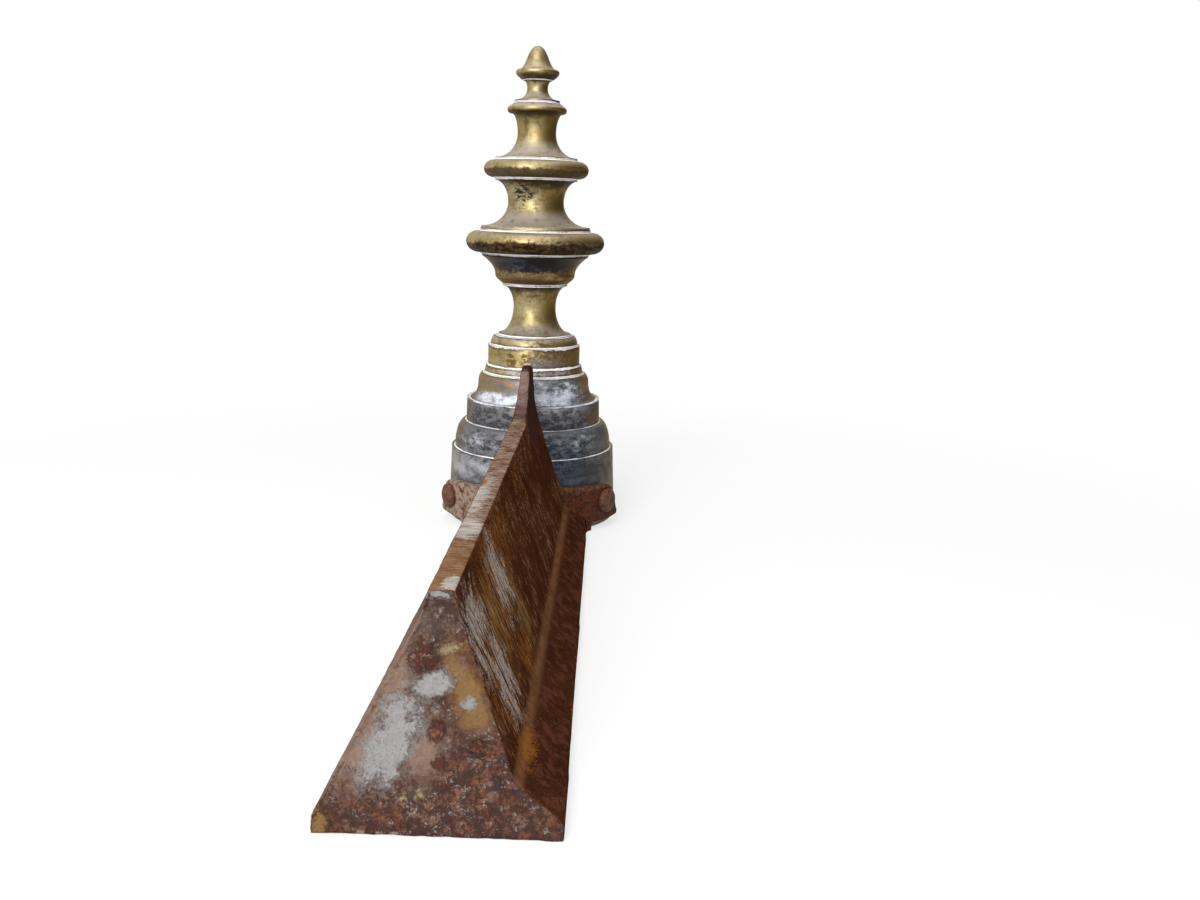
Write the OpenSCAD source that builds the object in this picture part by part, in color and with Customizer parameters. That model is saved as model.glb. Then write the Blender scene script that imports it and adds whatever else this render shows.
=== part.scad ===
// Andiron: turned brass column on a drum base, with a cast-iron log bar behind it.
// The column is a stack of hollow turned sections. A wrought-iron rod clamps it between
// a bridge bar inside the base drum and the blind nut that is the acorn tip.
// The part stands on z = 0. +X is sideways, the brass faces -Y and the bar runs to +Y.

/* [Overall] */
// Height of the whole andiron. The neck is as long as the other sections leave it.
total_h = 330; // [320:0.5:345]

/* [Base drum] */
// Diameter of the drum on the floor
base_foot_d = 123.2; // [116:0.2:132]
// Diameter of the drum at its top edge
base_top_d = 118.6; // [114:0.2:124]
// Height of the drum's straight part
base_straight_h = 51; // [44:0.5:54]
// Bevel round the drum's foot
base_bevel = 1.5; // [0.5:0.1:2.5]
// Height of the whole base drum
base_h = 70; // [66:0.5:78]
// Diameter at the foot of the ovolo shoulder
ovolo_foot_d = 114; // [108:0.2:118]
// Diameter of the seat on top of the shoulder
ovolo_top_d = 99.2; // [97:0.2:106]
// Wall thickness of the drum
base_wall = 4.2; // [3:0.1:6]
// Height of the inner shelf that the bridge bar pulls against
shelf_z = 56; // [52:0.5:58]
// Width of the inner shelf
shelf_w = 3.4; // [2.5:0.1:5]
// Diameter of the mouth in the top of the base drum
base_mouth_d = 84; // [78:0.5:88]
// Height of that mouth's upright wall
base_mouth_h = 4.2; // [3.4:0.1:6]

/* [Ogee bell] */
// Height of the bell
bell_h = 35; // [32:0.5:40]
// Diameter of the bell's drum at its seat
bell_seat_d = 97.6; // [94:0.2:99]
// Diameter of the bell's drum at its top edge
bell_drum_d = 96.4; // [94:0.2:99]
// Height of the bell's drum
bell_drum_h = 16.5; // [13:0.5:19]
// Diameter at the foot of the ogee
ogee_foot_d = 92.4; // [88:0.2:93]
// Diameter where the ogee turns from hollow to round
ogee_turn_d = 80.4; // [77:0.2:84]
// Height of that turn above the bell's seat
ogee_turn_h = 28; // [25:0.5:30]
// Diameter of the bell's top edge
bell_top_d = 72.4; // [70:0.2:76]
// Diameter of the bell's straight bore
bell_bore_d = 76; // [70:0.5:77]
// Diameter of the mouth in the top of the bell
bell_mouth_d = 60; // [56:0.5:63]

/* [Upper drum] */
// Height of the upper drum with its bead
drum_h = 20; // [17:0.5:24]
// Diameter of the bead at the drum's foot
bead_foot_d = 71.6; // [70:0.2:74]
// Diameter of the bead at its top edge
bead_top_d = 69.2; // [68:0.2:71]
// Height of the bead
bead_h = 5.6; // [4:0.2:7]
// Diameter of the drum
drum_d = 66.4; // [64:0.2:68]
// Diameter of the drum's bore
drum_bore_d = 52; // [48:0.5:55]
// Thickness of the web at the drum's top
drum_web_t = 3.5; // [2.5:0.5:5]
// Diameter of the mouth in the drum's web
drum_mouth_d = 40; // [36:0.5:44]

/* [Cap ring] */
// Height of the cap ring
cap_h = 7; // [5:0.5:9]
// Diameter of the cap ring at its foot
cap_foot_d = 63; // [60:0.2:66]
// Diameter of the cap ring at its top edge
cap_top_d = 55.2; // [54:0.2:57]
// Diameter of the mouth in the cap ring
cap_mouth_d = 28; // [26:0.5:32]

/* [Neck] */
// Diameter of the lip at the neck's foot
neck_foot_d = 52.8; // [50:0.2:54]
// Height of that lip and of the one at the neck's top
neck_lip_h = 1.2; // [0.6:0.1:1.6]
// Diameter of the waist
neck_waist_d = 30.4; // [28:0.2:33]
// Height of the waist above the neck's seat, as a share of the neck's height
neck_waist_share = 0.55; // [0.45:0.01:0.65]
// Diameter of the lip at the neck's top
neck_top_d = 46.6; // [44:0.2:50]
// Diameter of the bore through the neck
neck_bore_d = 18; // [15:0.5:20]

/* [Bowl] */
// Height of the bowl
bowl_h = 21; // [18:0.5:24]
// Diameter of the bowl's foot
bowl_foot_d = 46.4; // [44:0.2:48]
// Diameter at the swell of the bowl
bowl_swell_d = 57; // [54:0.2:60]
// Height of the swell above the bowl's seat
bowl_swell_h = 6.5; // [5.5:0.5:8]
// Radius of the bowl's round edge under the swell
bowl_edge_r = 4.4; // [3:0.2:5]
// Diameter of the bowl's rim
bowl_rim_d = 76; // [72:0.2:78]
// Height of the rim's upright edge
bowl_rim_h = 1.5; // [1:0.1:2.5]
// Thickness of the web in the bowl's foot
bowl_web_t = 4; // [3:0.5:6]
// Diameter of the mouth in the top of the bowl
bowl_mouth_d = 62; // [58:0.5:66]

/* [Great ring] */
// Height of the great ring
great_h = 16.5; // [14:0.5:20]
// Diameter of the great ring
great_d = 98.2; // [92:0.2:106]
// Diameter of the fillet under and over the ring
great_fillet_d = 78.6; // [76:0.2:82]
// Height of each fillet
great_fillet_h = 0.8; // [0.5:0.1:1.5]
// Depth of the rounded rim, from fillet line to outside
great_round = 8.2; // [7:0.2:9]
// Diameter of the mouth in the top of the great ring
great_mouth_d = 52; // [48:0.5:56]

/* [Middle spool] */
// Height of the middle spool
middle_h = 35; // [31:0.5:40]
// Diameter of its lower lip
middle_foot_d = 78.6; // [74:0.2:82]
// Diameter of its waist
middle_waist_d = 39.4; // [37:0.2:44]
// Height of the waist above the spool's seat
middle_waist_h = 19.4; // [17:0.2:22]
// Diameter of its upper lip
middle_top_d = 58.4; // [55:0.2:61]
// Height of its lower lip
middle_foot_h = 2.8; // [1:0.1:3.4]
// How far the hollow starts inside the lower lip
middle_foot_step = 1.4; // [0.8:0.1:2]
// Width of the ledge on top of the lower lip
middle_ledge_w = 0.4; // [0.2:0.1:0.6]
// Height of its upper lip
middle_lip_h = 0.9; // [0.5:0.1:1.6]
// Diameter of the mouth in the top of the middle spool
middle_mouth_d = 28; // [25:0.5:31]

/* [Upper ring] */
// Height of the upper ring
upper_h = 13.5; // [11:0.5:16]
// Diameter of the upper ring
upper_d = 73.6; // [69:0.2:79]
// Diameter of the fillet under and over the ring
upper_fillet_d = 58.6; // [56:0.2:60]
// Height of each fillet
upper_fillet_h = 0.8; // [0.5:0.1:1.2]
// Depth of the rounded rim, from fillet line to outside
upper_round = 6.8; // [6:0.2:7.6]
// Diameter of the mouth in the top of the upper ring
upper_mouth_d = 20; // [17:0.5:22]

/* [Upper spool] */
// Height of the upper spool with its disc
spool_h = 38; // [34:0.5:43]
// Diameter of its lower lip
spool_foot_d = 57.6; // [54:0.2:60]
// Height of the lower lip
spool_lip_h = 1.2; // [0.6:0.1:2]
// Diameter of its waist
spool_waist_d = 27; // [25:0.2:30]
// Height of the waist above the spool's seat
spool_waist_h = 17.5; // [15:0.5:20]
// Height of the disc's lower edge above the seat
disc_z = 30.8; // [29:0.2:32]
// Diameter where the spool meets the disc
disc_root_d = 36; // [34:0.2:38]
// Diameter of the disc
disc_d = 41.4; // [39:0.2:46]
// Height of the disc's round edge
disc_edge_h = 4.6; // [3.4:0.2:5.4]
// Depth of the disc's round edge
disc_round = 2; // [1.4:0.2:2.6]
// Diameter of the mouth in the top of the upper spool
spool_mouth_d = 14; // [13:0.5:17]

/* [Tip collar] */
// Height of the tip collar
collar_h = 14.5; // [12:0.5:18]
// Diameter of the collar's foot
collar_foot_d = 31.6; // [29:0.2:33]
// Height of the collar's foot
collar_foot_h = 1.6; // [1:0.2:2.4]
// Diameter of the collar's waist
collar_waist_d = 14.4; // [13:0.2:16]
// Height of the waist above the collar's seat
collar_waist_h = 9.2; // [8:0.2:10]
// Diameter of the collar's top
collar_top_d = 19.6; // [18:0.2:21]

/* [Acorn tip] */
// Height of the tip
tip_h = 23; // [20:0.5:27]
// Diameter of the tip's underside
tip_foot_d = 20; // [18:0.2:22]
// Diameter of the flange round the tip
tip_flange_d = 30.2; // [29:0.2:33]
// Height of the flange's widest line above the seat
tip_flange_z = 5.2; // [4.4:0.2:5.8]
// Height of the flange's round upper edge above that line
tip_flange_t = 2; // [1.4:0.2:2.4]
// Depth of that round upper edge
tip_flange_round = 1.8; // [1.4:0.2:2.2]
// Diameter of the acorn's flared foot on the flange
acorn_foot_d = 25.2; // [23:0.2:25.6]
// Diameter where the flare meets the acorn's dome
acorn_dome_d = 15; // [14:0.2:17]
// Height of the dome
acorn_dome_h = 8.2; // [7.4:0.2:9.4]
// How full the dome is, from 1 for a cone to 3 for a blunt nose
acorn_fullness = 2.4; // [1.8:0.1:3]

/* [Clamping] */
// Diameter of the wrought-iron rod
rod_d = 8; // [7:0.1:8.4]
// Depth of the rod's thread in the tip
rod_in_tip = 12.5; // [10:0.5:14]
// Length of rod that stands out below the nut
rod_tail = 4; // [2:0.5:8]
// Width of the bridge bar
bridge_w = 24; // [18:0.5:30]
// Thickness of the bridge bar
bridge_t = 7; // [5:0.5:9]
// Diameter of the rod washer
rod_washer_d = 21; // [18:0.5:24]
// Thickness of the rod washer
rod_washer_t = 2; // [1.2:0.1:3]
// Width of the square rod nut across its flats
rod_nut_w = 15; // [13:0.5:18]
// Thickness of the rod nut
rod_nut_t = 7; // [6:0.5:9]

/* [Log bar] */
// Distance from the column's axis to the rear end of the bar
bar_reach = 435; // [330:1:520]
// Width across the feet of the bar at the rear end
foot_w = 92.6; // [82:0.2:100]
// Width across the feet of the bar at the column's axis
foot_front_w = 85.2; // [80:0.2:94]
// Height of the foot's upright edge
foot_edge_h = 6.5; // [4:0.5:9]
// Distance between the creases where feet and flanks meet
crease_w = 57; // [50:0.5:62]
// Height of the creases
crease_z = 21; // [17:0.5:25]
// Width of the bar just under the ridge
shoulder_w = 15; // [13:0.5:18]
// Height where the flanks turn steeper
shoulder_z = 80; // [74:0.5:83]
// Width of the flat ridge that the logs lie on
ridge_w = 11; // [9:0.5:13]
// Height of the ridge
ridge_z = 90; // [86:0.5:96]
// How far the rear end leans forward at the ridge
rear_lean = 12.6; // [0:0.2:20]

/* [Tongue] */
// How far the tongue stands above the ridge
tongue_h = 28.5; // [24:0.5:36]
// Distance from the column's axis to where the ridge starts to rise
rise_start = 122; // [112:1:130]
// Distance from the column's axis to the rear of the tongue's head
tongue_rear = 79; // [72:1:88]
// Height above the ridge where the rear edge meets the head
tongue_rear_h = 23; // [20:0.5:25]
// Distance from the column's axis to the bend of the rise
rise_bend = 90; // [88:1:98]
// Height of that bend above the ridge
rise_bend_h = 9; // [5:0.5:12]
// Thickness of the tongue at its head
tongue_t = 6.8; // [6:0.2:8]
// Thickness of the tongue at its root
tongue_root_t = 8.8; // [8.2:0.2:10]
// Height of the root above the ridge
tongue_root_h = 7; // [5:0.5:10]

/* [Saddle and ears] */
// Thickness of the saddle that wraps the drum
saddle_t = 6.2; // [5:0.1:8]
// Height of the saddle's lower edge
saddle_z = 5.5; // [4:0.5:8]
// Height of the saddle's upper edge beside the bar
saddle_top_z = 34.4; // [32:0.2:38]
// Angle of each ear screw from the bar's direction
ear_angle = 55; // [50:1:60]
// Height of the ear screws
ear_z = 20; // [18:0.5:21]
// Radius of each ear's round top about its screw
ear_r = 11.4; // [10:0.2:12.4]
// Distance from the screw to the ear's lower end
ear_end = 18; // [14:0.5:19]
// Radius of the ear's lower corner
ear_corner_r = 3; // [2:0.5:5]
// Depth of the flat seat cut for each screw head
ear_seat_depth = 0.6; // [0.5:0.1:1]
// Radius of the fillet where the saddle meets the feet
fillet_r = 12; // [4:0.5:16]
// Diameter of the ear screws
ear_screw_d = 8; // [6:0.5:9]
// Diameter of the ear screws' heads
ear_head_d = 17; // [15:0.5:19]
// Thickness of the ear screws' heads
ear_head_t = 3.8; // [3:0.1:5]
// Height of the heads' rounded edge
ear_crown_h = 1.3; // [0.8:0.1:2]
// Diameter of the flat on top of the heads
ear_crown_d = 11.4; // [9:0.2:13]
// Diameter of the ear washers
ear_washer_d = 17; // [14:0.5:19]
// Thickness of the ear washers
ear_washer_t = 1.6; // [1.2:0.1:2.4]
// Width of the square ear nuts across their flats
ear_nut_w = 13; // [12:0.5:16]
// Thickness of the ear nuts
ear_nut_t = 6; // [5:0.5:7]
// Length of ear screw that stands out of its nut
ear_screw_tail = 2.5; // [1:0.5:4]

/* [Fits] */
// Gap round each spigot in its mouth
spigot_gap = 0.3; // [0.2:0.05:0.5]
// Length of the spigots
spigot_h = 3; // [2:0.1:3.2]
// Thickness of the spigots' walls
spigot_wall = 2.2; // [1.8:0.1:2.2]
// Gap round each shank in its hole
hole_gap = 0.3; // [0.2:0.05:0.5]
// Gap round each thread in its nut
thread_gap = 0.1; // [0.05:0.05:0.2]
// Gap between the rough iron casting and the brass
casting_gap = 0.3; // [0.2:0.05:0.6]
// Gap between a flat washer's rim and the round wall
rim_gap = 0.1; // [0.05:0.05:0.3]
// Gap between the bridge bar's ends and the drum's wall
bridge_gap = 0.7; // [0.4:0.1:1.5]

/* [Hidden] */
$fn = 96;
// Straight stretches that each curve of an outline is drawn with
curve_n = 9;
// Extra length that a cut runs past the face it leaves by
past = 1;
// How far a fillet's round cut reaches into the walls that it joins
fillet_bite = 0.4;
// Angle from level where the bowl's round edge leaves its flat underside
bowl_edge_a = 60;
// Angle from level where the disc's round edge meets the slope up to the collar
disc_edge_a = 55;
// Angle from level where the tip's round flange meets the acorn's foot
flange_edge_a = 80;
// How high the pull on the tip's convex underside lies, as a share of the widest line's height
under_pull = 0.63;
// How high the pull on the acorn's flare lies, as a share of the flare's height
flare_pull = 0.17;
// Angle from level where the tongue's round head takes over from its rear edge
head_from_a = 12;
// Angle from level where the tongue's flanks end and its round top begins
tongue_top_a = 80;
// Angle from level where an ear's round top meets its straight end
ear_round_a = 15;

neck_h = total_h - base_h - bell_h - drum_h - cap_h - bowl_h - great_h - middle_h - upper_h
         - spool_h - collar_h - tip_h;

// Seats of the sections, counted up from the floor
bell_z = base_h;
drum_z = bell_z + bell_h;
cap_z = drum_z + drum_h;
neck_z = cap_z + cap_h;
bowl_z = neck_z + neck_h;
great_z = bowl_z + bowl_h;
middle_z = great_z + great_h;
upper_z = middle_z + middle_h;
spool_z = upper_z + upper_h;
collar_z = spool_z + spool_h;
tip_z = collar_z + collar_h;

// The origin is under the middle of the part, so the column stands towards -Y
column_y = (outer_r(base_bevel) - bar_reach) / 2;
// The iron's solids start at this radius, well inside the space that is cut for the brass
iron_start_r = base_foot_d / 4;

rod_hole_d = rod_d + 2 * hole_gap;
shelf_out_r = inner_r(shelf_z);
bridge_z = shelf_z - bridge_t;
rod_washer_z = bridge_z - rod_washer_t;
rod_nut_z = rod_washer_z - rod_nut_t;
rod_foot_z = rod_nut_z - rod_tail;
rod_top_z = tip_z + rod_in_tip;

saddle_r = base_foot_d / 2 + casting_gap + saddle_t;
ear_face_r = saddle_r - ear_seat_depth;
ear_hole_d = ear_screw_d + 2 * hole_gap;
// A flat washer touches the round, tapered wall with two points of its rim
wall_taper = (base_foot_d - base_top_d) / 2 / base_straight_h;
ear_wall_r = inner_r(ear_z);
ear_washer_face = sqrt(pow(ear_wall_r, 2) - pow(ear_wall_r * wall_taper, 2)
                       - pow(ear_washer_d / 2, 2)) - rim_gap;
ear_nut_face = ear_washer_face - ear_washer_t;
ear_screw_end = ear_nut_face - ear_nut_t - ear_screw_tail;

brass = [0.71, 0.60, 0.33];
sooty_brass = [0.52, 0.52, 0.53];
black_brass = [0.22, 0.21, 0.21];
rust = [0.42, 0.28, 0.20];
dark_iron = [0.27, 0.25, 0.24];

// Radius of the base drum's outside at a height within its straight part
function outer_r(z) = (base_foot_d + (base_top_d - base_foot_d) * z / base_straight_h) / 2;
// Radius of the base drum's inside wall at a height
function inner_r(z) = outer_r(z) - base_wall;

// Elliptical arc about a centre, with its two half axes and its end angles
function arc(r, z, half_r, half_z, from, to) =
    [for (i = [0 : curve_n]) let (a = from + (to - from) * i / curve_n)
        [r + half_r * cos(a), z + half_z * sin(a)]];

// Hollow quarter that rises from a wide foot to a narrow waist
function cove_in(wide, z0, narrow, z1) = arc(wide, z1, wide - narrow, z1 - z0, 270, 180);
// Hollow quarter that rises from a narrow waist to a wide lip
function cove_out(narrow, z0, wide, z1) = arc(wide, z0, wide - narrow, z1 - z0, 180, 90);
// Round quarter that rises from a wide foot to a narrow top
function ovolo_in(wide, z0, narrow, z1) = arc(narrow, z0, wide - narrow, z1 - z0, 0, 90);
// Flank that rises upright from r0 and opens more and more to r1
function flare(r0, z0, r1, z1) =
    [for (i = [1 : curve_n]) let (k = i / curve_n)
        [r0 + (r1 - r0) * k * k, z0 + (z1 - z0) * k]];
// Curve from one point to another that a third point pulls towards itself
function bend(from, pull, to) =
    [for (i = [0 : curve_n]) let (k = i / curve_n, m = 1 - k)
        m * m * from + 2 * m * k * pull + k * k * to];

// Solid of revolution on the column's axis
module turned(outline) {
    translate([0, column_y, 0]) rotate_extrude() polygon(outline);
}

// Plain round bore on the column's axis
module bore(d, z0, z1) {
    translate([0, column_y, z0]) cylinder(d = d, h = z1 - z0);
}

// Spigot under a section, which sits in the mouth of the section below
module spigot(mouth_d, seat_z) {
    out_d = mouth_d - 2 * spigot_gap;
    difference() {
        bore(out_d, seat_z - spigot_h, seat_z + spigot_h);
        bore(out_d - 2 * spigot_wall, seat_z - spigot_h - past, seat_z + spigot_h + past);
    }
}

module base_drum() {
    ovolo = ovolo_in(ovolo_foot_d / 2, base_straight_h, ovolo_top_d / 2, base_h);
    shelf_in_r = shelf_out_r - shelf_w;
    mouth_r = base_mouth_d / 2;
    cone_top = base_h - base_mouth_h;
    color(sooty_brass) difference() {
        turned(concat([[0, 0], [outer_r(0) - base_bevel, 0], [outer_r(base_bevel), base_bevel],
                       [outer_r(base_straight_h), base_straight_h]], ovolo, [[0, base_h]]));
        turned([[0, -past], [inner_r(-past), -past], [shelf_out_r, shelf_z],
                [shelf_in_r, shelf_z], [mouth_r, cone_top], [mouth_r, base_h + past],
                [0, base_h + past]]);
        for (side = [-1, 1]) ear_hole(side);
    }
}

module ogee_bell() {
    turn_z = bell_z + ogee_turn_h;
    step_z = bell_z + bell_drum_h;
    bore_r = bell_bore_d / 2;
    mouth_r = bell_mouth_d / 2;
    color(sooty_brass) {
        difference() {
            turned(concat([[0, bell_z], [bell_seat_d / 2, bell_z], [bell_drum_d / 2, step_z]],
                          cove_in(ogee_foot_d / 2, step_z, ogee_turn_d / 2, turn_z),
                          ovolo_in(ogee_turn_d / 2, turn_z, bell_top_d / 2, drum_z),
                          [[0, drum_z]]));
            turned([[0, bell_z - past], [bore_r, bell_z - past], [bore_r, step_z],
                    [mouth_r, turn_z], [mouth_r, drum_z + past], [0, drum_z + past]]);
        }
        spigot(base_mouth_d, bell_z);
    }
}

module upper_drum() {
    bead_z = drum_z + bead_h;
    color(brass) {
        difference() {
            turned(concat([[0, drum_z]],
                          [[bead_foot_d / 2, drum_z], [bead_top_d / 2, bead_z],
                           [drum_d / 2, bead_z], [drum_d / 2, cap_z]],
                          [[0, cap_z]]));
            bore(drum_bore_d, drum_z - past, cap_z - drum_web_t);
            bore(drum_mouth_d, drum_z, cap_z + past);
        }
        spigot(bell_mouth_d, drum_z);
    }
}

module cap_ring() {
    color(brass) {
        difference() {
            turned(concat([[0, cap_z]], ovolo_in(cap_foot_d / 2, cap_z, cap_top_d / 2, neck_z),
                          [[0, neck_z]]));
            bore(cap_mouth_d, cap_z - past, neck_z + past);
        }
        spigot(drum_mouth_d, cap_z);
    }
}

module neck() {
    waist_z = neck_z + neck_h * neck_waist_share;
    foot_r = neck_foot_d / 2;
    top_r = neck_top_d / 2;
    color(brass) {
        difference() {
            turned(concat([[0, neck_z], [foot_r, neck_z]],
                          cove_in(foot_r, neck_z + neck_lip_h, neck_waist_d / 2, waist_z),
                          cove_out(neck_waist_d / 2, waist_z, top_r, bowl_z - neck_lip_h),
                          [[top_r, bowl_z], [0, bowl_z]]));
            bore(neck_bore_d, neck_z - past, bowl_z + past);
        }
        spigot(cap_mouth_d, neck_z);
    }
}

module bowl() {
    swell_z = bowl_z + bowl_swell_h;
    floor_z = bowl_z + bowl_web_t;
    step_z = great_z - spigot_h - spigot_gap;
    mouth_r = bowl_mouth_d / 2;
    hollow_r = bowl_swell_d / 2 - base_wall;
    edge_at = bowl_swell_d / 2 - bowl_edge_r;
    rim_r = bowl_rim_d / 2;
    color(black_brass) {
        difference() {
            turned(concat([[0, bowl_z], [bowl_foot_d / 2, bowl_z]],
                          arc(edge_at, swell_z, bowl_edge_r, bowl_edge_r, -bowl_edge_a, 0),
                          flare(bowl_swell_d / 2, swell_z, rim_r, great_z - bowl_rim_h),
                          [[rim_r, great_z], [0, great_z]]));
            turned([[0, floor_z], [bowl_foot_d / 2 - base_wall, floor_z], [hollow_r, swell_z],
                    [mouth_r - spigot_wall, step_z], [mouth_r, step_z],
                    [mouth_r, great_z + past], [0, great_z + past]]);
            bore(rod_hole_d, bowl_z - past, great_z);
        }
        difference() {
            bore(neck_bore_d - 2 * spigot_gap, bowl_z - spigot_h, bowl_z + bowl_web_t);
            bore(rod_hole_d, bowl_z - spigot_h - past, bowl_z + bowl_web_t + past);
        }
    }
}

// Ring with a rounded rim between two thin fillets
module round_ring(z0, h, d, fillet_d, fillet_h, rim_r, mouth_d, seat_mouth_d) {
    top = z0 + h;
    rim = arc(d / 2 - rim_r, z0 + h / 2, rim_r, h / 2 - fillet_h, -90, 90);
    fillet_r = fillet_d / 2;
    color(brass) {
        difference() {
            turned(concat([[0, z0], [fillet_r, z0], [fillet_r, z0 + fillet_h]], rim,
                          [[fillet_r, top - fillet_h], [fillet_r, top], [0, top]]));
            bore(mouth_d, z0 - past, top + past);
        }
        spigot(seat_mouth_d, z0);
    }
}

module great_ring() {
    round_ring(great_z, great_h, great_d, great_fillet_d, great_fillet_h, great_round,
               great_mouth_d, bowl_mouth_d);
}

module middle_spool() {
    waist_z = middle_z + middle_waist_h;
    foot_r = middle_foot_d / 2;
    foot_z = middle_z + middle_foot_h;
    hollow_r = foot_r - middle_foot_step;
    top_r = middle_top_d / 2;
    color(brass) {
        difference() {
            turned(concat([[0, middle_z], [foot_r, middle_z], [hollow_r + middle_ledge_w, foot_z]],
                          cove_in(hollow_r, foot_z, middle_waist_d / 2, waist_z),
                          cove_out(middle_waist_d / 2, waist_z, top_r, upper_z - middle_lip_h),
                          [[top_r, upper_z], [0, upper_z]]));
            bore(middle_mouth_d, middle_z - past, upper_z + past);
        }
        spigot(great_mouth_d, middle_z);
    }
}

module upper_ring() {
    round_ring(upper_z, upper_h, upper_d, upper_fillet_d, upper_fillet_h, upper_round,
               upper_mouth_d, middle_mouth_d);
}

module upper_spool() {
    waist_z = spool_z + spool_waist_h;
    foot_r = spool_foot_d / 2;
    edge_z = spool_z + disc_z;
    half_edge = disc_edge_h / 2;
    color(brass) {
        difference() {
            turned(concat([[0, spool_z], [foot_r, spool_z]],
                          cove_in(foot_r, spool_z + spool_lip_h, spool_waist_d / 2, waist_z),
                          cove_out(spool_waist_d / 2, waist_z, disc_root_d / 2, edge_z),
                          arc(disc_d / 2 - disc_round, edge_z + half_edge,
                              disc_round, half_edge, -90, disc_edge_a),
                          [[collar_foot_d / 2, collar_z], [0, collar_z]]));
            bore(spool_mouth_d, spool_z - past, collar_z + past);
        }
        spigot(upper_mouth_d, spool_z);
    }
}

module tip_collar() {
    waist_z = collar_z + collar_waist_h;
    foot_r = collar_foot_d / 2;
    foot_z = collar_z + collar_foot_h;
    color(brass) difference() {
        union() {
            turned(concat([[0, collar_z], [foot_r, collar_z]],
                          cove_in(foot_r, foot_z, collar_waist_d / 2, waist_z),
                          cove_out(collar_waist_d / 2, waist_z, collar_top_d / 2, tip_z),
                          [[0, tip_z]]));
            bore(spool_mouth_d - 2 * spigot_gap, collar_z - spigot_h, collar_z + collar_foot_h);
        }
        bore(rod_hole_d, collar_z - spigot_h - past, tip_z + past);
    }
}

module tip_nut() {
    flange_r = tip_flange_d / 2;
    flange_z = tip_z + tip_flange_z;
    edge_top = flange_z + tip_flange_t;
    tip_top = tip_z + tip_h;
    dome_r = acorn_dome_d / 2;
    dome_z = tip_top - acorn_dome_h;
    // The flare leaves the dome in the direction that the dome has there
    lean = dome_r / acorn_dome_h / acorn_fullness;
    pull_h = (dome_z - edge_top) * flare_pull;
    pull_r = dome_r + lean * (dome_z - edge_top - pull_h);
    dome = [for (i = [curve_n - 1 : -1 : 0]) let (k = i / curve_n)
               [dome_r * k, tip_top - acorn_dome_h * pow(k, acorn_fullness)]];
    color(brass) difference() {
        turned(concat([[0, tip_z]],
                      bend([tip_foot_d / 2, tip_z], [flange_r, tip_z + tip_flange_z * under_pull],
                           [flange_r, flange_z]),
                      [for (p = arc(flange_r - tip_flange_round, flange_z, tip_flange_round,
                                    tip_flange_t, 0, flange_edge_a)) if (p[1] > flange_z) p],
                      bend([acorn_foot_d / 2, edge_top], [pull_r, edge_top + pull_h],
                           [dome_r, dome_z]),
                      dome));
        bore(rod_d + 2 * thread_gap, tip_z - past, rod_top_z + hole_gap);
    }
}

module tie_rod() {
    color(dark_iron) bore(rod_d, rod_foot_z, rod_top_z);
}

module bridge_bar() {
    end_r = inner_r(bridge_z) - bridge_gap;
    reach = min(end_r, shelf_out_r - bridge_gap);
    color(dark_iron) difference() {
        intersection() {
            bore(2 * reach, bridge_z, shelf_z);
            translate([-reach, column_y - bridge_w / 2, bridge_z])
                cube([2 * reach, bridge_w, bridge_t]);
        }
        bore(rod_hole_d, bridge_z - past, shelf_z + past);
    }
}

module rod_washer() {
    color(dark_iron) difference() {
        bore(rod_washer_d, rod_washer_z, bridge_z);
        bore(rod_hole_d, rod_washer_z - past, bridge_z + past);
    }
}

module rod_nut() {
    color(dark_iron) difference() {
        translate([-rod_nut_w / 2, column_y - rod_nut_w / 2, rod_nut_z])
            cube([rod_nut_w, rod_nut_w, rod_nut_t]);
        bore(rod_d + 2 * thread_gap, rod_nut_z - past, rod_washer_z + past);
    }
}

// Places a child that points along +Z so that it points out through one ear
module at_ear(side) {
    translate([0, column_y, ear_z]) rotate([0, 0, -side * ear_angle]) rotate([-90, 0, 0])
        children();
}

// Ring on an ear's axis between two distances from the column's axis
module ear_disc(side, d, from, to) {
    at_ear(side) translate([0, 0, from]) cylinder(d = d, h = to - from);
}

module ear_hole(side) {
    ear_disc(side, ear_hole_d, ear_screw_end - past, ear_face_r + past);
}

// Space behind which the casting stays clear of the brass column
module brass_space() {
    g = casting_gap;
    bell_r = max(bell_seat_d, bell_drum_d) / 2 + g;
    ovolo = ovolo_in(ovolo_foot_d / 2 + g, base_straight_h + g, ovolo_top_d / 2 + g, base_h + g);
    clear_z = ridge_z + tongue_h + past;
    turned(concat([[0, -past], [outer_r(-past) + g, -past],
                   [outer_r(base_straight_h) + g, base_straight_h + g]], ovolo,
                  [[bell_r, base_h + g], [bell_r, clear_z], [0, clear_z]]));
}

// Outline that is the same on both sides of x = 0, from its right half
function both_sides(half) =
    concat(half, [for (i = [len(half) - 1 : -1 : 0]) [-half[i][0], half[i][1]]]);

// Wedge-shaped billet, flared at its feet and cut to a leaning rear face
module billet() {
    start_y = column_y + iron_start_r;
    rear_y = column_y + bar_reach;
    section = both_sides([[foot_w / 2, 0], [foot_w / 2, foot_edge_h], [crease_w / 2, crease_z],
                          [shoulder_w / 2, shoulder_z], [ridge_w / 2, ridge_z]]);
    side = [[start_y, 0], [rear_y, 0], [rear_y - rear_lean, ridge_z], [start_y, ridge_z]];
    intersection() {
        translate([0, rear_y, 0]) rotate([90, 0, 0])
            linear_extrude(height = rear_y - start_y) polygon(section);
        translate([-foot_w, 0, 0]) rotate([90, 0, 90])
            linear_extrude(height = 2 * foot_w) polygon(side);
        linear_extrude(height = ridge_z)
            polygon([[-foot_w / 2, rear_y], [-foot_front_w / 2, column_y],
                     [foot_front_w / 2, column_y], [foot_w / 2, rear_y]]);
    }
}

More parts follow.
